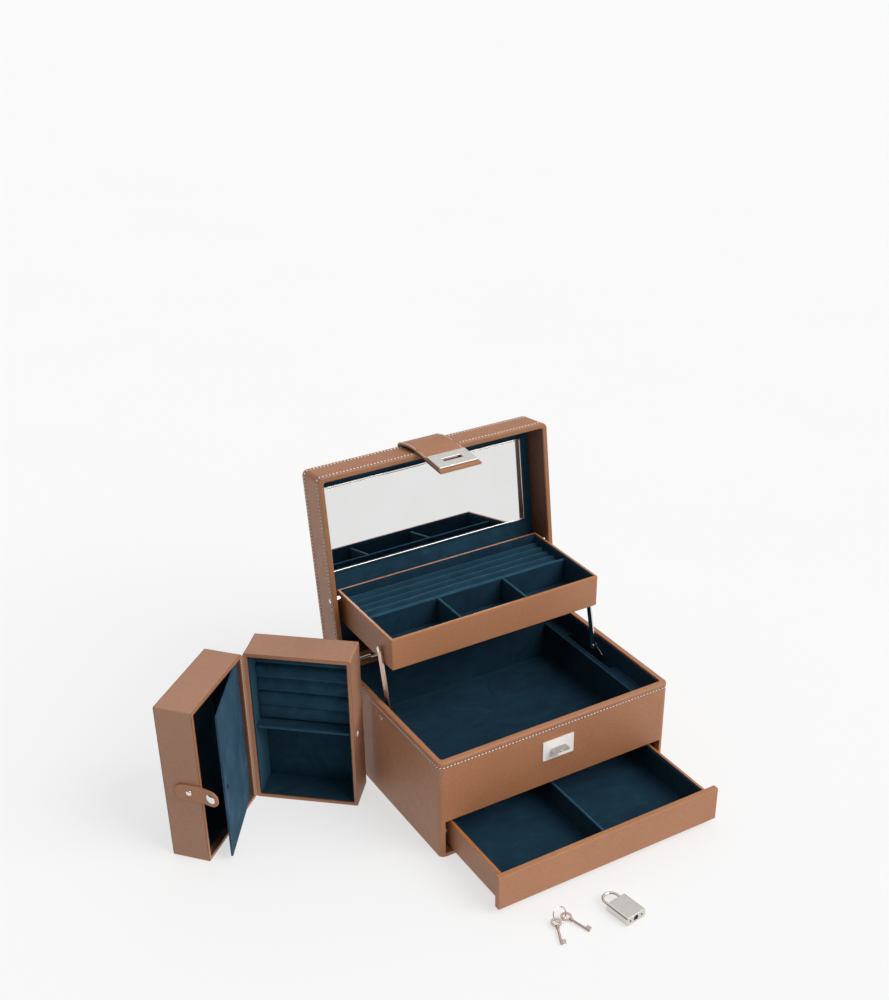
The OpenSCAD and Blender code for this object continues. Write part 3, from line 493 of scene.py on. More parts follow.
def puffed(name, bm, held, mat, body, stands_for, voxel=1.5, pressure=3.0, cap=1.2, grow=6.0):
    """Pads a closed form by cloth simulation at grow times its size.

    held(x, y, z) is the hold on a point, from 0 to 1.
    """
    me = bpy.data.meshes.new(name)
    bmesh.ops.recalc_face_normals(bm, faces=bm.faces)
    bmesh.ops.scale(bm, vec=(MM * grow,) * 3, verts=bm.verts)
    bm.to_mesh(me)
    bm.free()
    o = bpy.data.objects.new(name, me)
    scene.collection.objects.link(o)
    rm = o.modifiers.new("even", "REMESH")
    rm.mode, rm.voxel_size, rm.use_smooth_shade = "VOXEL", voxel * MM * grow, True
    graph = bpy.context.evaluated_depsgraph_get()
    done = bpy.data.meshes.new_from_object(o.evaluated_get(graph))
    o.modifiers.clear()
    o.data = done
    start = np.array([v.co for v in done.vertices], float)
    rest = start / grow / MM
    hold = np.array([held(*p) for p in rest])
    g = o.vertex_groups.new(name="hold")
    for i, w in enumerate(hold):
        if w > 0:
            g.add([i], float(w), "REPLACE")
    c = o.modifiers.new("cloth", "CLOTH")
    s = c.settings
    s.quality, s.mass = 5, 0.4
    s.tension_stiffness, s.compression_stiffness, s.shear_stiffness, s.bending_stiffness = 12, 12, 6, 0.6
    s.use_pressure, s.uniform_pressure_force = True, pressure
    s.vertex_group_mass = "hold"
    s.effector_weights.gravity = 0
    c.collision_settings.use_collision = False
    c.point_cache.frame_start, c.point_cache.frame_end = 1, 20
    for f in range(1, 21):
        scene.frame_set(f)
    graph = bpy.context.evaluated_depsgraph_get()
    after = o.evaluated_get(graph).to_mesh()
    moved = np.array([v.co for v in after.vertices], float)
    o.evaluated_get(graph).to_mesh_clear()
    o.modifiers.clear()
    scene.frame_set(1)
    d = moved - start
    far = np.linalg.norm(d, axis=1)
    limit = cap * MM * grow
    d *= (np.minimum(far, limit) / np.maximum(far, 1e-9))[:, None]
    start = start + d
    done.vertices.foreach_set("co", (start / grow).ravel())
    done.update()
    o.vertex_groups.clear()
    sub = o.modifiers.new("smooth", "SUBSURF")
    sub.levels = sub.render_levels = 1
    done.materials.clear()
    done.materials.append(mat)
    done.polygons.foreach_set("use_smooth", [True] * len(done.polygons))
    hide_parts(*stands_for)
    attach(o, body)


# ---------- camera, floor and light ----------
def camera():
    az, el, roll = radians(CAMERA_TURN), radians(CAMERA_DROP), radians(CAMERA_ROLL)
    view = Vector((-sin(az) * cos(el), cos(az) * cos(el), -sin(el)))
    right = view.cross(Vector((0, 0, 1))).normalized()
    up = right.cross(view)
    r2 = right * cos(roll) + up * sin(roll)
    u2 = up * cos(roll) - right * sin(roll)
    data = bpy.data.cameras.new("camera")
    cam = bpy.data.objects.new("camera", data)
    scene.collection.objects.link(cam)
    at = Vector(CAMERA_AT) * MM
    cam.matrix_world = Matrix.Translation(at) @ Matrix((r2, u2, -view)).transposed().to_4x4()
    data.sensor_width, data.sensor_fit, data.lens = 36.0, "AUTO", LENS
    data.shift_x, data.shift_y = SHIFT
    data.clip_start, data.clip_end = 0.01, 100
    scene.camera = cam


def studio():
    m, t, s, place = new_material("pale_floor")
    t.links.new(ramp(t, noise_of(t, place, 3.0, 2.0), [(0.3, grey(0.296)), (0.7, grey(0.30))]),
                s.inputs["Base Color"])
    s.inputs["Emission Color"].default_value = (1, 1, 1, 1)
    s.inputs["Emission Strength"].default_value = 0.622
    s.inputs["Roughness"].default_value = 0.9
    s.inputs["Specular IOR Level"].default_value = 0.1
    bm = bmesh.new()
    bmesh.ops.create_grid(bm, x_segments=8, y_segments=8, size=14)
    me = bpy.data.meshes.new("floor")
    bm.to_mesh(me)
    bm.free()
    me.materials.append(m)
    floor = bpy.data.objects.new("floor", me)
    floor.location = (0, 0, -0.0002)
    scene.collection.objects.link(floor)
    w = bpy.data.worlds.new("studio")
    scene.world = w
    w.use_nodes = True
    t = w.node_tree
    way = t.nodes.new("ShaderNodeTexCoord").outputs["Generated"]
    up = node(t, "ShaderNodeSeparateXYZ", {"Vector": way}).outputs["Z"]
    broken = noise_of(t, way, 2.2, 2.0)
    high = node(t, "ShaderNodeMath", {0: up, 1: node(t, "ShaderNodeMath", {0: broken, 1: 0.22},
                                                     operation="MULTIPLY").outputs[0]},
                operation="ADD").outputs[0]
    sky = ramp(t, high, [(0.0, (0.62, 0.60, 0.59)), (0.16, (0.60, 0.58, 0.57)), (0.22, (0.20, 0.18, 0.175)),
                         (0.38, (0.18, 0.165, 0.16)), (0.46, (0.95, 0.95, 0.96)), (1.0, (0.92, 0.93, 0.95))])
    background = t.nodes["Background"]
    across = node(t, "ShaderNodeSeparateXYZ", {"Vector": way}).outputs["X"]
    side = ramp(t, node(t, "ShaderNodeMath", {0: across, 1: 0.5, 2: 0.5},
                        operation="MULTIPLY_ADD").outputs[0],
                [(0.0, grey(0.36)), (0.25, grey(0.42)), (0.6, grey(1.05)), (1.0, grey(1.4))])
    t.links.new(mixed(t, 1.0, sky, side, "MULTIPLY"), background.inputs["Color"])
    background.inputs["Strength"].default_value = 0.74
    for name, direction, strength, angle, colour in (
            ("key", (0.50, -0.70, 0.74), 1.97, 42, (1.0, 0.985, 0.96)),
            ("top", (-0.1, 0.25, 1.0), 0.45, 80, (1.0, 1.0, 1.0))):
        data = bpy.data.lights.new(name, "SUN")
        data.energy, data.angle, data.color = strength, radians(angle), colour
        o = bpy.data.objects.new(name, data)
        o.rotation_euler = Vector(direction).to_track_quat("Z", "Y").to_euler()
        scene.collection.objects.link(o)
    scene.view_settings.view_transform = "Standard"
    scene.view_settings.look = "None"


# ---------- main case, lower part ----------
def rim(wall, top, side=1, face=4, bead=0.12, groove=0.28, at=SEAM):
    """Points (inset, z, material) over a leather rim, from its inner face to below the stitch groove.

    side is 1 for a rim facing up and -1 for a mouth facing down.
    """
    z = lambda d: top - side * d
    pts = [(wall, z(2.0), 1), (wall, z(0.7), 1), (wall - 0.12, z(0.25), 1), (wall - 0.5, z(0.0), face),
           (wall - 1.2, z(-0.08), face),
           (2.15, z(-0.08), face), (1.75, z(0.12), face), (1.4, z(0.0), face), (0.9, z(0.02), face),
           (0.35, z(0.28), 0), (0.0, z(0.8), 0),
           # material 3 is the stitch groove band, which gets painted shade
           (-bead, z(1.5), 0), (-bead, z(at - 1.8), 0), (-bead * 0.3, z(at - 0.9), 3),
           (groove, z(at - 0.45), 3),
           (groove, z(at + 0.45), 3), (0.02, z(at + 0.9), 0)]
    return pts


def base():
    prof = []
    for inset, z, m in rim(SIDE_WALL, BASE_H):
        prof.append((inset, inset * END_WALL / SIDE_WALL if inset > 2.2 else inset, z, m))
    prof = [(SIDE_WALL, END_WALL, 0.4, 2), (SIDE_WALL, END_WALL, 60.0, 2)] + prof
    prof += [(0.0, 0.0, 60.0, 0), (0.0, 0.0, 1.2, 0), (0.35, 0.35, 0.35, 0), (1.2, 1.2, 0.0, 0)]
    open_z, open_x = 41.8, CASE_W / 2 - SIDE_WALL
    bm = bmesh.new()
    loops = []
    for ix, iy, z, m in prof:
        share = min(max(ix, 0) / SIDE_WALL, 1)
        hx, hy = CASE_W / 2 - ix, CASE_D / 2 - iy
        # beside the opening the corners stay clear of its ends
        r = 5.4 - 3.0 * share if z > 59 else max(min(5.4, hx - open_x - 0.02), 0.05)
        x_end = min(open_x, hx - r)
        pts = ring(hx, hy, r, 6)
        # the ring ends at the front left corner and starts at the front right: the opening lies between
        row = [(x, y, z) for x, y in pts]
        row += [(-x_end, -hy, z), (-x_end, -hy, max(z, open_z)), (x_end, -hy, max(z, open_z)),
                (x_end, -hy, z)]
        loops.append([bm.verts.new(p) for p in row])
    n = len(loops[0])
    for a in range(len(loops)):
        A, B = loops[a], loops[(a + 1) % len(loops)]
        for i in range(n):
            j = (i + 1) % n
            f = bm.faces.new((A[i], A[j], B[j], B[i]))
            f.material_index = prof[a][3]
    bmesh.ops.remove_doubles(bm, verts=bm.verts, dist=0.004)
    bmesh.ops.dissolve_degenerate(bm, edges=bm.edges, dist=0.001)
    make("base_leather_walls", bm, [TAN, EDGE, BAY, GROOVE_SHADE, RIM], "case", ["base_walls"])
    stitches("base_rim_stitches", [loop_path(CASE_W / 2, CASE_D / 2, 5.3, BASE_H - SEAM, inset=SUNK)], "case")
    softened("base_bottom", TAN, "case", 0.7)
    softened("compartment_board", [EDGE], "case", 0.5)
    # suede lining: floor pad apart, walls with a soft upper edge
    hx, hy = CASE_W / 2 - SIDE_WALL, CASE_D / 2 - END_WALL
    make("compartment_lining", tub(hx, hy, [(1.2, 1.2, 46.2, 1.6, 0), (1.2, 1.2, 105.6, 1.6, 0),
                                            (1.05, 1.05, 106.5, 1.7, 0), (0.6, 0.6, 106.95, 2.0, 0),
                                           (0.15, 0.15, 106.6, 2.4, 0), (0.02, 0.02, 105.8, 2.4, 0),
                                            (0.02, 0.02, 45.9, 2.4, 0), (0.6, 0.6, 45.85, 2.4, 0)]),
         SUEDE, "case", ["base_lining"])
    px, py = hx - 1.3, hy - 1.3
    pad = tub(px, py, [(0.9, 0.9, 45.95, 1.0, 0), (0.0, 0.0, 46.6, 1.4, 0), (0.0, 0.0, 48.0, 1.4, 0),
                       (0.9, 0.9, 49.1, 2.0, 0)])
    bmesh.ops.subdivide_edges(pad, edges=pad.edges, cuts=1)
    puffed("compartment_floor_pad", pad, lambda x, y, z: 1.0 if z < 46.6 else (0.9 if min(px - abs(x),
            py - abs(y)) < 2.5 else 0.0),
           SUEDE, "case", [], voxel=2.2, pressure=0.5, cap=0.7, grow=6.0)
    for s in ("left", "right"):
        suede_divider("ledge_" + s, SUEDE, "case", 1.1)
    softened("hinge_base_leaf", NICKEL, "case", 0.12, 1)
    softened("hinge_pin", NICKEL, "case", 0.15, 2)
    softened("arm_brackets", NICKEL, "case", 0.25, 2)
    softened("arm_rivets", NICKEL, "case", 0.12, 2, above=40)
    # the staple plate is the near-white nickel, a painted bright reflection
    staple = rounded(fetch("staple_plate"), 0.3, 3)
    staple.normal_update()
    for f in staple.faces:
        # the tongue's upper side is grained
        grained = f.normal.z > 0.3 and f.calc_center_median().y < -99.2 and f.calc_area() > 1.5
        f.material_index = int(grained)
    make("staple_plate_finished", staple, [SATIN_PAINTED_REFLECTION, GRAINED], "case", ["staple_plate"])
    softened("staple_screws", SATIN_PAINTED_REFLECTION, "case", 0.12, 2)
    softened("drawer_stop_screws", SATIN_PAINTED_REFLECTION, "case", 0.2, 2, above=40)


# ---------- lid ----------
def lid():
    top = LID_Z + LID_H
    prof = [(LID_WALL + 0.4, LID_WALL + 0.4, top - LID_TOP, 2.0, 2),
            (LID_WALL, LID_WALL, top - LID_TOP - 0.4, 2.4, 2), (LID_WALL, LID_WALL, LID_Z + 2.2, 2.4, 2)]
    for inset, z, m in rim(LID_WALL, LID_Z, -1):
        prof.append((inset, inset, z, 6.0 - 3.6 * max(inset, 0) / LID_WALL, m))
    far = top - SEAM
    for d, z in ((0.0, far - 2), (0.0, far - 0.9), (0.26, far - 0.45), (0.26, far + 0.45),
                 (-0.02, far + 0.9), (-0.10, far + 2.2), (-0.10, far + 3.4), (0.15, top - 0.55),
                 (0.7, top - 0.1), (1.5, top)):
        # material 3 is the band round the upper stitch groove, which gets painted shade
        prof.append((d, d, z, 6.0 - d, 3 if abs(z - far) < 0.95 and z < far + 0.8 else 0))
    make("lid_leather_shell", tub(CASE_W / 2, CASE_D / 2, prof, OPENED), [TAN, EDGE, INNER, GROOVE_SHADE, MOUTH],
         "lid", ["lid_shell"])
    stitches("lid_stitches", [loop_path(CASE_W / 2, CASE_D / 2, 5.9, LID_Z + SEAM, OPENED, SUNK),
                              loop_path(CASE_W / 2, CASE_D / 2, 5.9, far, OPENED, SUNK)], "lid")
    softened("lid_lining", SUEDE_BRIGHTER_LIT, "lid", 0.9, 3)
    softened("mirror", MIRROR, "lid", 0.25, 2)
    softened("mirror_trim", NICKEL, "lid", 0.55, 3)
    softened("hinge_lid_leaf", NICKEL, "lid", 0.12, 1)
    softened("lid_pivots", NICKEL, "lid", 0.12, 2, above=40)


def strap():
    half, t = STRAP_HALF, STRAP_T
    top = LID_Z + LID_H
    # centre line in the shut pose (y, z, direction the outer face looks in):
    # along the lid, round its edge and down to the flex line
    line = []
    for i in range(9):
        y = -97 + 36 - i * 4.4
        line.append((y, top + t / 2, 90.0))
    cy, cz, r = -97.0, top - 1.2, 2.4
    for i in range(9):
        a = 90 + 90 * i / 8
        line.append((cy + r * cos(radians(a)), cz + r * sin(radians(a)), a))
    for z in np.arange(cz - 4, FLEX_Z + 4, -4):
        line.append((STRAP_Y, z, 180.0))
    for up in (4, 3, 2, 1, 0):
        line.append((STRAP_Y, FLEX_Z + up, 180.0))
    sec = strip_section(2 * half, t, 0.75)

    def bulge(z, a):
        return 1.5 * sin(pi * min(max((cz - z) / (cz - FLEX_Z), 0.0), 1.0)) if a == 180.0 else 0.0
    sections = []
    for k, (y, z, a) in enumerate(line):
        # the leather bulges between the lid's edge and the flex line
        y -= bulge(z, a)
        inset = 0.5 if k == 0 else 0.0
        thin = 0.6 if k == 0 else 1.0
        # the strap's own bend at the flex line starts to lean here
        lean = 0.0
        if a == 180.0 and z <= FLEX_Z + 4:
            lean = radians(TAIL_LEAN) * 0.5 * max(0.0, (FLEX_Z + 4 - z) / 4) ** 2
        ya, za = cos(radians(a) + lean), sin(radians(a) + lean)
        sections.append([OPENED @ Vector((x * (1 - inset / half), y + ya * v * thin,
                                          z + za * v * thin)) for x, v in sec])
    upper = loft(sections)
    # side faces get the dark edge leather: a burnished edge, deepened as painted shade along the strap
    for f in upper.faces:
        if min(abs(v.co.x) for v in f.verts) > half - 0.3:
            f.material_index = 1
    o = make("strap_upper_leather", upper, [TAN, DARK_EDGE_AND_SHADE], None, ["strap_root"])
    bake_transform(o)
    paths = []
    for s in (-1, 1):
        pts, nrm = [], []
        for y, z, a in line[:-4]:
            y -= bulge(z, a)
            d = Vector((0, cos(radians(a)), sin(radians(a))))
            pts.append(OPENED @ (Vector((s * (half - 2.3), y, z)) + d * (t / 2 + 0.02)))
            nrm.append(OPENED.to_3x3() @ d)
        paths.append((pts, nrm))
    end = [OPENED @ Vector((x, -97 + 34.2, top + t + 0.02)) for x in (-half + 2.3, half - 2.3)]
    paths.append((end, [OPENED.to_3x3() @ Vector((0, 0, 1))] * 2))
    stitches("strap_stitches", paths, "lid", 2.9, 0.36)
    # the tail: the CAD leaf carried up to the flex line, with extra loops to bend at
    bm = fetch("strap_tail")
    back = TAIL.inverted()
    for v in bm.verts:
        p = back @ v.co
        if p.z > FLEX_Z - 5:
            p.z = FLEX_Z
        v.co = p
    top_edges = {e for e in bm.edges if all(abs(v.co.z - FLEX_Z) < 0.01 for v in e.verts)}
    edges = [e for e in bm.edges if e not in top_edges
             and len(e.link_faces) == 2 and e.calc_face_angle(0) > radians(28)]
    bmesh.ops.bevel(bm, geom=edges, offset=0.7, segments=3, profile=0.5, affect="EDGES", clamp_overlap=True)
    for d in (1, 2, 3, 4, 6, 9, 13, 17):
        bmesh.ops.bisect_plane(bm, geom=bm.verts[:] + bm.edges[:] + bm.faces[:],
                               plane_co=(0, STRAP_Y, FLEX_Z - d), plane_no=(0, 0, 1))
    bm.normal_update()
    for f in bm.faces:
        c = f.calc_center_median()
        # cut edges are burnished dark, deepened as painted shade; the walls of the slot get the same dark as
        # painted shade
        slot_wall = abs(c.x) < half - 4 and FLEX_Z - 45 < c.z < FLEX_Z - 20
        if abs(f.normal.y) < 0.6 and (abs(c.x) > half - 0.4 or slot_wall):
            f.material_index = 1
    for v in bm.verts:
        d = max(0.0, FLEX_Z - v.co.z)
        lean = radians(-TAIL_LEAN) * 0.5 * max(0.0, 1 - d / 4) ** 2
        m = shift(0, STRAP_Y, FLEX_Z) @ Matrix.Rotation(lean, 4, "X") @ shift(0, -STRAP_Y, -FLEX_Z)
        v.co = TAIL @ (m @ v.co)
    o = make("strap_tail_leather", bm, [TAN, DARK_EDGE_AND_SHADE], None, ["strap_tail", "strap_knuckle"])
    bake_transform(o)
    paths = [line_path((s * (half - 2.3), STRAP_Y - t / 2 - 0.02, FLEX_Z - 4.2),
                       (s * (half - 2.3), STRAP_Y - t / 2 - 0.02, FLEX_Z - 18.5), (0, -1, 0),
                       TAIL) for s in (-1, 1)]
    stitches("strap_tail_stitches", paths, "hasp", 2.9, 0.36)
    softened("slotted_plate", BRUSHED, "hasp", 0.45, 3)
    softened("plate_screws", NICKEL, "hasp", 0.1, 1)


# ---------- tray ----------
def thin_wall(h, wall, floor, inner=0, line=1.5, r_out=1.5, bead=0.1):
    """Rings of an open leather box, from its inner floor over the rim to its underside."""
    return [(wall + 0.6, wall + 0.6, floor, 0.4, 0), (wall, wall, floor + 0.6, 0.5, inner),
            (wall, wall, h - 0.9, 0.5, inner), (wall - 0.15, wall - 0.15, h - 0.35, 0.6, inner),
            (wall - 0.5, wall - 0.5, h - 0.15, 0.8, inner),
            (line + 0.15, line + 0.15, h - 0.12, 1.0, inner), (line, line, h, 1.0, 1),
            (0.7, 0.7, h + 0.04, 1.2, 1), (0.2, 0.2, h - 0.2, 1.4, 1),
            (-bead * 0.5, -bead * 0.5, h - 0.9, r_out, 0), (0, 0, h - 2.2, r_out, 0), (0, 0, 1.0, r_out, 0),
            (0.3, 0.3, 0.3, r_out, 0), (1.0, 1.0, 0, r_out, 0)]


def lining_rings(h, t):
    """Rings of a suede lining: floor, walls with a soft rounded rim, back outside."""
    return [(t + 0.8, t + 0.8, t, 0.5, 0), (t + 0.2, t + 0.2, t + 0.2, 0.7, 0), (t, t, t + 0.9, 0.8, 0),
            (t, t, h - 0.7, 0.6, 0), (t * 0.75, t * 0.75, h - 0.1, 0.6, 0),
            (t * 0.35, t * 0.35, h, 0.6, 0), (0.08, 0.08, h - 0.4, 0.5, 0), (0.03, 0.03, h - 1.2, 0.5, 0),
            (0.03, 0.03, 0.1, 0.5, 0)]


def roll_block(count, room, h, half, share=0.92, square=1.0):
    """Closed form of a row of round-topped rolls.

    x runs along the rolls and y across them from 0; z goes up from 0. square below 1 flattens their tops.
    """
    pitch = room / count
    r = pitch / 2 * share
    sec = [(0.15, 0.1), (0.15, h - pitch * 0.62)]
    for i in range(count):
        c = (i + 0.5) * pitch
        for k in range(13):
            a = pi - pi * k / 12
            across, up = cos(a), abs(sin(a)) ** square
            sec.append((c + r * math.copysign(abs(across) ** square, across), h - r * 1.12 + r * 1.04 * up))
        if i < count - 1:
            sec.append((c + pitch / 2, h - r * 1.3 - 1.2))
    sec += [(room - 0.15, h - pitch * 0.62), (room - 0.15, 0.1)]
    xs = [-half + 0.1, -half + 0.5,
          -half + 1.4] + [-half + 6 + (2 * half - 12) * i / 23 for i in range(24)] + [half - 1.4,
                  half - 0.5, half - 0.1]
    out = []
    for k, x in enumerate(xs):
        drop = (1.2, 0.45, 0.1)[min(k, len(xs) - 1 - k)] if min(k, len(xs) - 1 - k) < 3 else 0.0
        row = []
        for y, z in sec:
            w = noise.noise(Vector((x * 0.035, y * 0.16, 4.0))) * 0.35 + noise.noise(Vector((x * 0.12,
                    y * 0.3, 9.0))) * 0.12
            top = max(0.0, min(1.0, (z - (h - pitch * 0.75)) / 3))
            row.append(Vector((x, y, z + (w - drop) * top)))
        out.append(row)
    return loft(out)


def place_bm(bm, m):
    bmesh.ops.transform(bm, matrix=m, verts=bm.verts)
    return bm


def tray():
    half, middle = TRAY_D / 2, TRAY_Y + TRAY_D / 2
    make("tray_leather_box", tub(TRAY_HALF, half, thin_wall(TRAY_H, TRAY_WALL, TRAY_FLOOR, 2, 2.6),
                                 shift(0, middle, TRAY_Z)), [TAN, CUT, SUEDE], "tray", ["tray_box"])
    make("tray_suede_lining", tub(TRAY_HALF - TRAY_WALL, half - TRAY_WALL,
                                  lining_rings(TRAY_H - 4.5, LINING),
                                  shift(0, middle, TRAY_Z + TRAY_FLOOR)), SUEDE, "tray", ["tray_lining"])
    suede_divider("tray_cross_divider", SUEDE, "tray")
    suede_divider("tray_dividers", SUEDE, "tray")
    lo, hi = (v * 1000 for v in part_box("tray_ring_rolls"))
    room = hi.y - lo.y
    pitch = room / ROLLS
    h = hi.z - lo.z

    def held(x, y, z):
        if z < lo.z + 0.8:
            return 1.0
        v = abs(((y - lo.y) / pitch) % 1.0 - 0.5)
        edge = 1.0 if v > 0.43 or z < hi.z - pitch * 0.85 else 0.0
        return max(edge, 0.7 if abs(x) > hi.x - 1.5 else 0.0)
    puffed("tray_rolls_padded", place_bm(roll_block(ROLLS, room, h, hi.x), shift(0, lo.y, lo.z)), held,
           SUEDE_LIT, "tray", ["tray_ring_rolls"],
           voxel=1.4, pressure=4.0, cap=0.7)
    softened("tray_pins", NICKEL, "tray", 0.2, 2, above=40)
    # the left arm gets the orange-tinted nickel as painted reflection of the leather; the right arm is plain
    # nickel
    softened("arm_left", LEATHER_REFLECTING_NICKEL, "arm_left", 0.35, 3)
    softened("arm_right", NICKEL, "arm_right", 0.35, 3)


# ---------- drawer ----------
def drawer():
    front = rounded(fetch("drawer_front"), 0.9, 4)
    front.normal_update()
    for f in front.faces:
        f.material_index = 1 if f.normal.y > 0.3 or (f.normal.z > 0.9 and f.calc_area() > 20) else 0
    make("drawer_front_finished", front, [TAN, EDGE], "drawer", ["drawer_front"])
    lo, hi = (v * 1000 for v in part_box("drawer_box"))
    c = (lo + hi) / 2
    make("drawer_leather_box", tub((hi.x - lo.x) / 2, (hi.y - lo.y) / 2,
                                   thin_wall(hi.z - lo.z, TRAY_WALL, TRAY_FLOOR, 2, 2.9),
                                   shift(c.x, c.y, lo.z)), [TAN, CUT, SUEDE], "drawer", ["drawer_box"])
    lo, hi = (v * 1000 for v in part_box("drawer_lining"))
    c = (lo + hi) / 2
    make("drawer_suede_lining", tub((hi.x - lo.x) / 2, (hi.y - lo.y) / 2, lining_rings(hi.z - lo.z, LINING),
                                    shift(c.x, c.y, lo.z)), SUEDE, "drawer", ["drawer_lining"])
    suede_divider("drawer_divider", SUEDE, "drawer")
    softened("drawer_pegs", [EDGE], "drawer", 0.8, 3)


# ---------- travel case ----------
def half_case(name, place, mats, body, node_name, side):
    """Half a travel case: ring plane x and z, depth along side times y, mouth at y = 0."""
    stand = place @ Matrix(((1, 0, 0, TRAVEL_W / 2), (0, 0, -side, side * TRAVEL_D),
                            (0, 1, 0, TRAVEL_H / 2), (0, 0, 0, 1)))
    w, h = TRAVEL_WALL, TRAVEL_D - 0.25
    rings = [(w + 0.4, w + 0.4, w, 0.4, 2), (w, w, w + 0.4, 0.5, 2), (w, w, h - 0.8, 0.5, 1),
             (w - 0.15, w - 0.15, h - 0.25, 0.6, 1), (w - 0.6, w - 0.6, h, 0.8, 1),
             (0.9, 0.9, h, 1.0, 1), (0.35, 0.35, h - 0.12, 1.2, 3), (0.0, 0.0, h - 0.5, 1.5, 3),
             (-0.05, -0.05, h - 1.0, 1.5, 0), (0.0, 0.0, h - 2.0, 1.5, 0),
             (0, 0, 2.2, 1.5, 0), (-0.05, -0.05, 1.2, 1.5, 3), (0.05, 0.05, 0.6, 1.5, 3),
             (0.35, 0.35, 0.15, 1.5, 0), (1.1, 1.1, 0.0, 1.5, 0)]
    make(name, tub(TRAVEL_W / 2, TRAVEL_H / 2, rings, stand), mats, body, [node_name])


def half_lining(name, place, mat, body, node_name, side, back):
    stand = place @ Matrix(((1, 0, 0, TRAVEL_W / 2), (0, 0, -side, side * (TRAVEL_D - TRAVEL_WALL)),
                            (0, 1, 0, TRAVEL_H / 2), (0, 0, 0, 1)))
    make(name, tub(TRAVEL_W / 2 - TRAVEL_WALL, TRAVEL_H / 2 - TRAVEL_WALL,
                   lining_rings(TRAVEL_D - TRAVEL_WALL - back, LINING), stand), mat, body, [node_name])


def travel():
    mats = [MATTE, RIM, INNER, FOLD]
    half_case("travel_leather_body", TRAVEL, mats, "travel_body", "travel_body", 1)
    half_case("travel_leather_cover", COVER, mats, "travel_cover", "travel_cover", -1)
    half_lining("travel_body_suede", TRAVEL, SUEDE_LIT, "travel_body", "travel_body_lining", 1, 2)
    half_lining("travel_cover_suede", COVER, SUEDE, "travel_cover", "travel_cover_lining", -1, 7)
    suede_divider("travel_shelf", SUEDE_LIT, "travel_body", 1.0, tuple(TRAVEL.to_3x3() @ Vector((0, -1, 0))))
    # rolls: x across, y up the case, z out from its back
    z0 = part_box("travel_ring_rolls")[0].z * 1000
    room = TRAVEL_H - TRAVEL_WALL - LINING - z0
    half = TRAVEL_W / 2 - TRAVEL_WALL - LINING
    pitch = room / ROLLS
    back_y = TRAVEL_D - TRAVEL_WALL - LINING
    lay = TRAVEL @ Matrix(((1, 0, 0, TRAVEL_W / 2), (0, 0, -1, back_y), (0, 1, 0, z0), (0, 0, 0, 1)))
    inv = lay.inverted()

    def held(x, y, z):
        p = inv @ Vector((x, y, z))
        if p.z < 0.8:
            return 1.0
        v = abs((p.y / pitch) % 1.0 - 0.5)
        edge = 1.0 if v > 0.43 or p.z < TRAVEL_ROLL_H - pitch * 0.85 else 0.0
        return max(edge, 0.7 if abs(p.x) > half - 1.5 else 0.0)
    puffed("travel_rolls_padded", place_bm(roll_block(ROLLS, room, TRAVEL_ROLL_H, half, 0.91, 0.55), lay),
           held, SUEDE_BRIGHTER_LIT, "travel_body", ["travel_ring_rolls"],
           voxel=1.1, pressure=4.0, cap=0.6)
    softened("travel_stud", SATIN_PAINTED_REFLECTION, "travel_body", 0.15, 2, above=40)
    softened("travel_spine", [MATTE], "travel_body", 0.35, 3)
    fold()
    softened("travel_flap", [FLAP_SUEDE], "flap", 0.7, 3)
    # the pull eyelet is near-black as painted shade
    softened("flap_pull", EYELET_SHADE, "flap", 0.3, 2)
    snap_tab()


def fold():
    """Leather sewn over the fold between the two mouths."""
    path = [TRAVEL @ Vector(p) for p in ((2.4, 0.2, 0), (2.1, 0.04, 0), (1.2, 0.02, 0), (0.5, 0.0, 0),
                                         (0.1, -0.08, 0))]
    path += [COVER @ Vector(p) for p in ((0.1, 0.08, 0), (0.5, 0.0, 0), (1.2, -0.02, 0), (2.4, -0.02, 0),
                                         (3.3, -0.03, 0), (3.55, -0.2, 0))]
    under = [TRAVEL @ Vector((2.3, 0.3, 0)), TRAVEL @ Vector((0.3, 0.3, 0)), COVER @ Vector((0.3, -0.3, 0)),
             COVER @ Vector((3.5, -0.3, 0))]
    sections = []
    for k, z in enumerate([1.4,
                           1.6] + [2.0 + (TRAVEL_H - 4.0) * i / 20 for i in range(21)] + [TRAVEL_H - 1.6,
                                   TRAVEL_H - 1.4]):
        sections.append([p + Vector((0, 0, z)) for p in path + under[::-1]])
    o = make("travel_fold_leather", loft(sections), [MATTE], None, [], 60)
    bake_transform(o)
    stitches("fold_stitches", [line_path((2.75, -0.19, 4), (2.75, -0.19, TRAVEL_H - 4), (0, 1, 0), COVER)],
             "travel_cover", 3.1, 0.29, 8.0, 0.6)


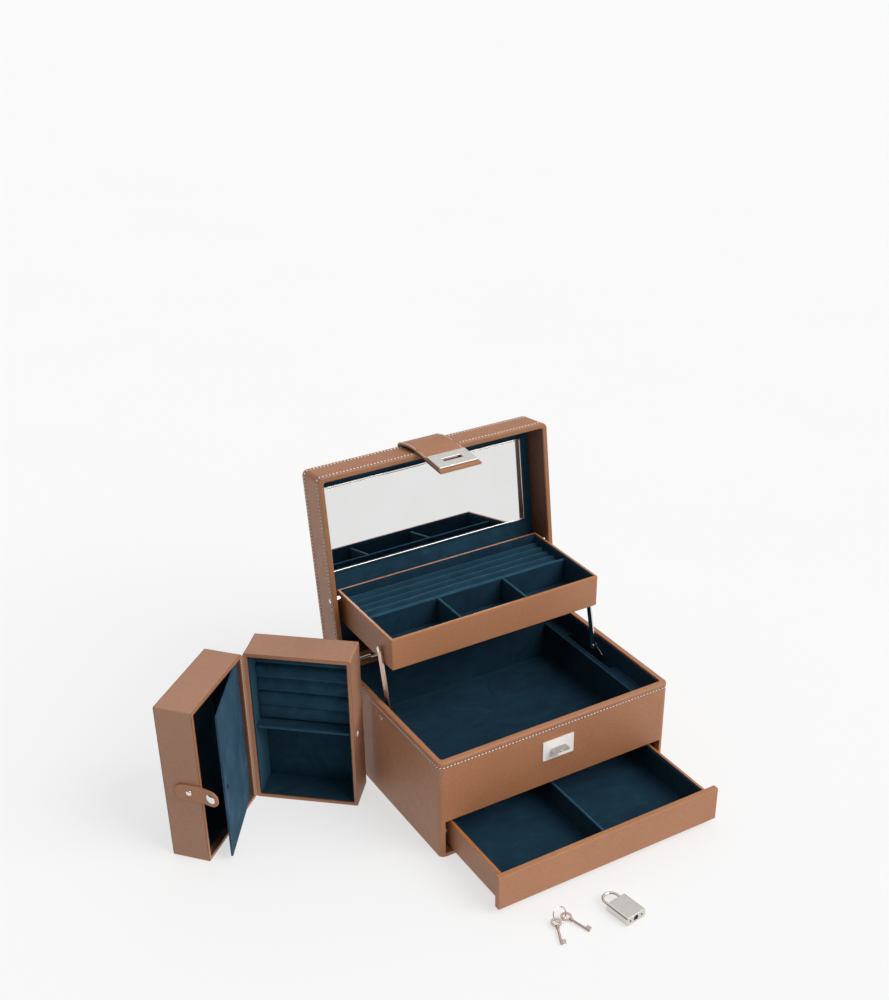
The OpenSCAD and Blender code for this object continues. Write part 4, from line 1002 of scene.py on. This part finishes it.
def snap_tab():
    """Oval leather tab on the cover's free side, bending out where it crosses to the body."""
    t, w, tip, root, z0 = TAB_T, TAB_HALF, SNAP_Y + TAB_HALF, TAB_ROOT, TAB_Z
    ys = [root + 0.02, root + 0.3, root + 0.9, root + 1.9, root + 3.3, root + 5.2, root + 8.5, -14, -10, -7,
          -5, -4, -3, -2, -1, 0, 1, 2, 3, 4, 6, 9, tip - 8.5, tip - 5.2, tip - 3.3, tip - 1.9, tip - 0.9,
          tip - 0.3, tip - 0.02]
    sections = []
    for y in ys:
        d = min(y - root, tip - y)
        half = w if d >= w else math.sqrt(max(w * w - (w - d) ** 2, 0.01))
        sec = strip_section(2 * half, t * (0.45 + 0.55 * min(1, d / 0.9)), 0.6, 3, 6)
        row = []
        for a, b in sec:
            # the free end leans out about the flex line; at rest it follows the CAD tab
            k = max(0.0, min(1.0, (y + 1.5) / 3.0))
            lean = radians(-12.0) * k * k * (3 - 2 * k)
            m = shift(TRAVEL_W + t / 2, 0, z0) @ Matrix.Rotation(lean, 4, "Z")
            off = 0.3 * k
            row.append(COVER @ (m @ Vector((b + off, y, a))))
        sections.append(row)
    # the hole that takes the press stud, under the snap cap
    socket = COVER @ shift(TRAVEL_W + t / 2, 0, z0) @ turn(-12, "Z") @ shift(0.3, SNAP_Y, 0) @ turn(90, "Y")
    o = make("snap_tab_leather", bored(loft(sections), socket, 3.9, 6.0), [TAN], None,
             ["snap_tab", "tab_anchor"])
    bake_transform(o)
    dome("tab_rivet", COVER @ shift(TRAVEL_W + t - 0.05, -12, z0) @ turn(90, "Y"), 3.0, 1.3, NICKEL,
         "travel_cover")
    softened("snap_cap", NICKEL, "snap_tab", 0.25, 3, above=40)


def dome(name, place, r, h, mat, body, n=28):
    """A rivet head of radius r and height h, facing place's z axis."""
    sections = []
    for k in range(9):
        a = k / 8 * pi / 2
        wide = r * cos(a) if k < 8 else 0.02
        sections.append([place @ Vector((wide * cos(2 * pi * i / n), wide * sin(2 * pi * i / n), h * sin(a)))
                         for i in range(n)])
    return make(name, loft(sections), mat, body)


# ---------- padlock and keys ----------
def small_things():
    softened("lock_body", LOCKED, "padlock", 1.1, 4)
    softened("lock_plug", DARK_METAL, "padlock", 0.25, 2)
    softened("lock_pins", DARK_METAL, "padlock", 0.2, 2)
    softened("lock_shackle", LOCKED, "shackle", 0.3, 2, above=50)
    softened("key_ring", NICKEL, "key_ring", 0.05, 1, above=60)
    softened("key_one", KEYED, "key_one", 0.22, 2)
    softened("key_two", KEYED, "key_two", 0.22, 2)


camera()
studio()
base()
lid()
strap()
tray()
drawer()
travel()
small_things()
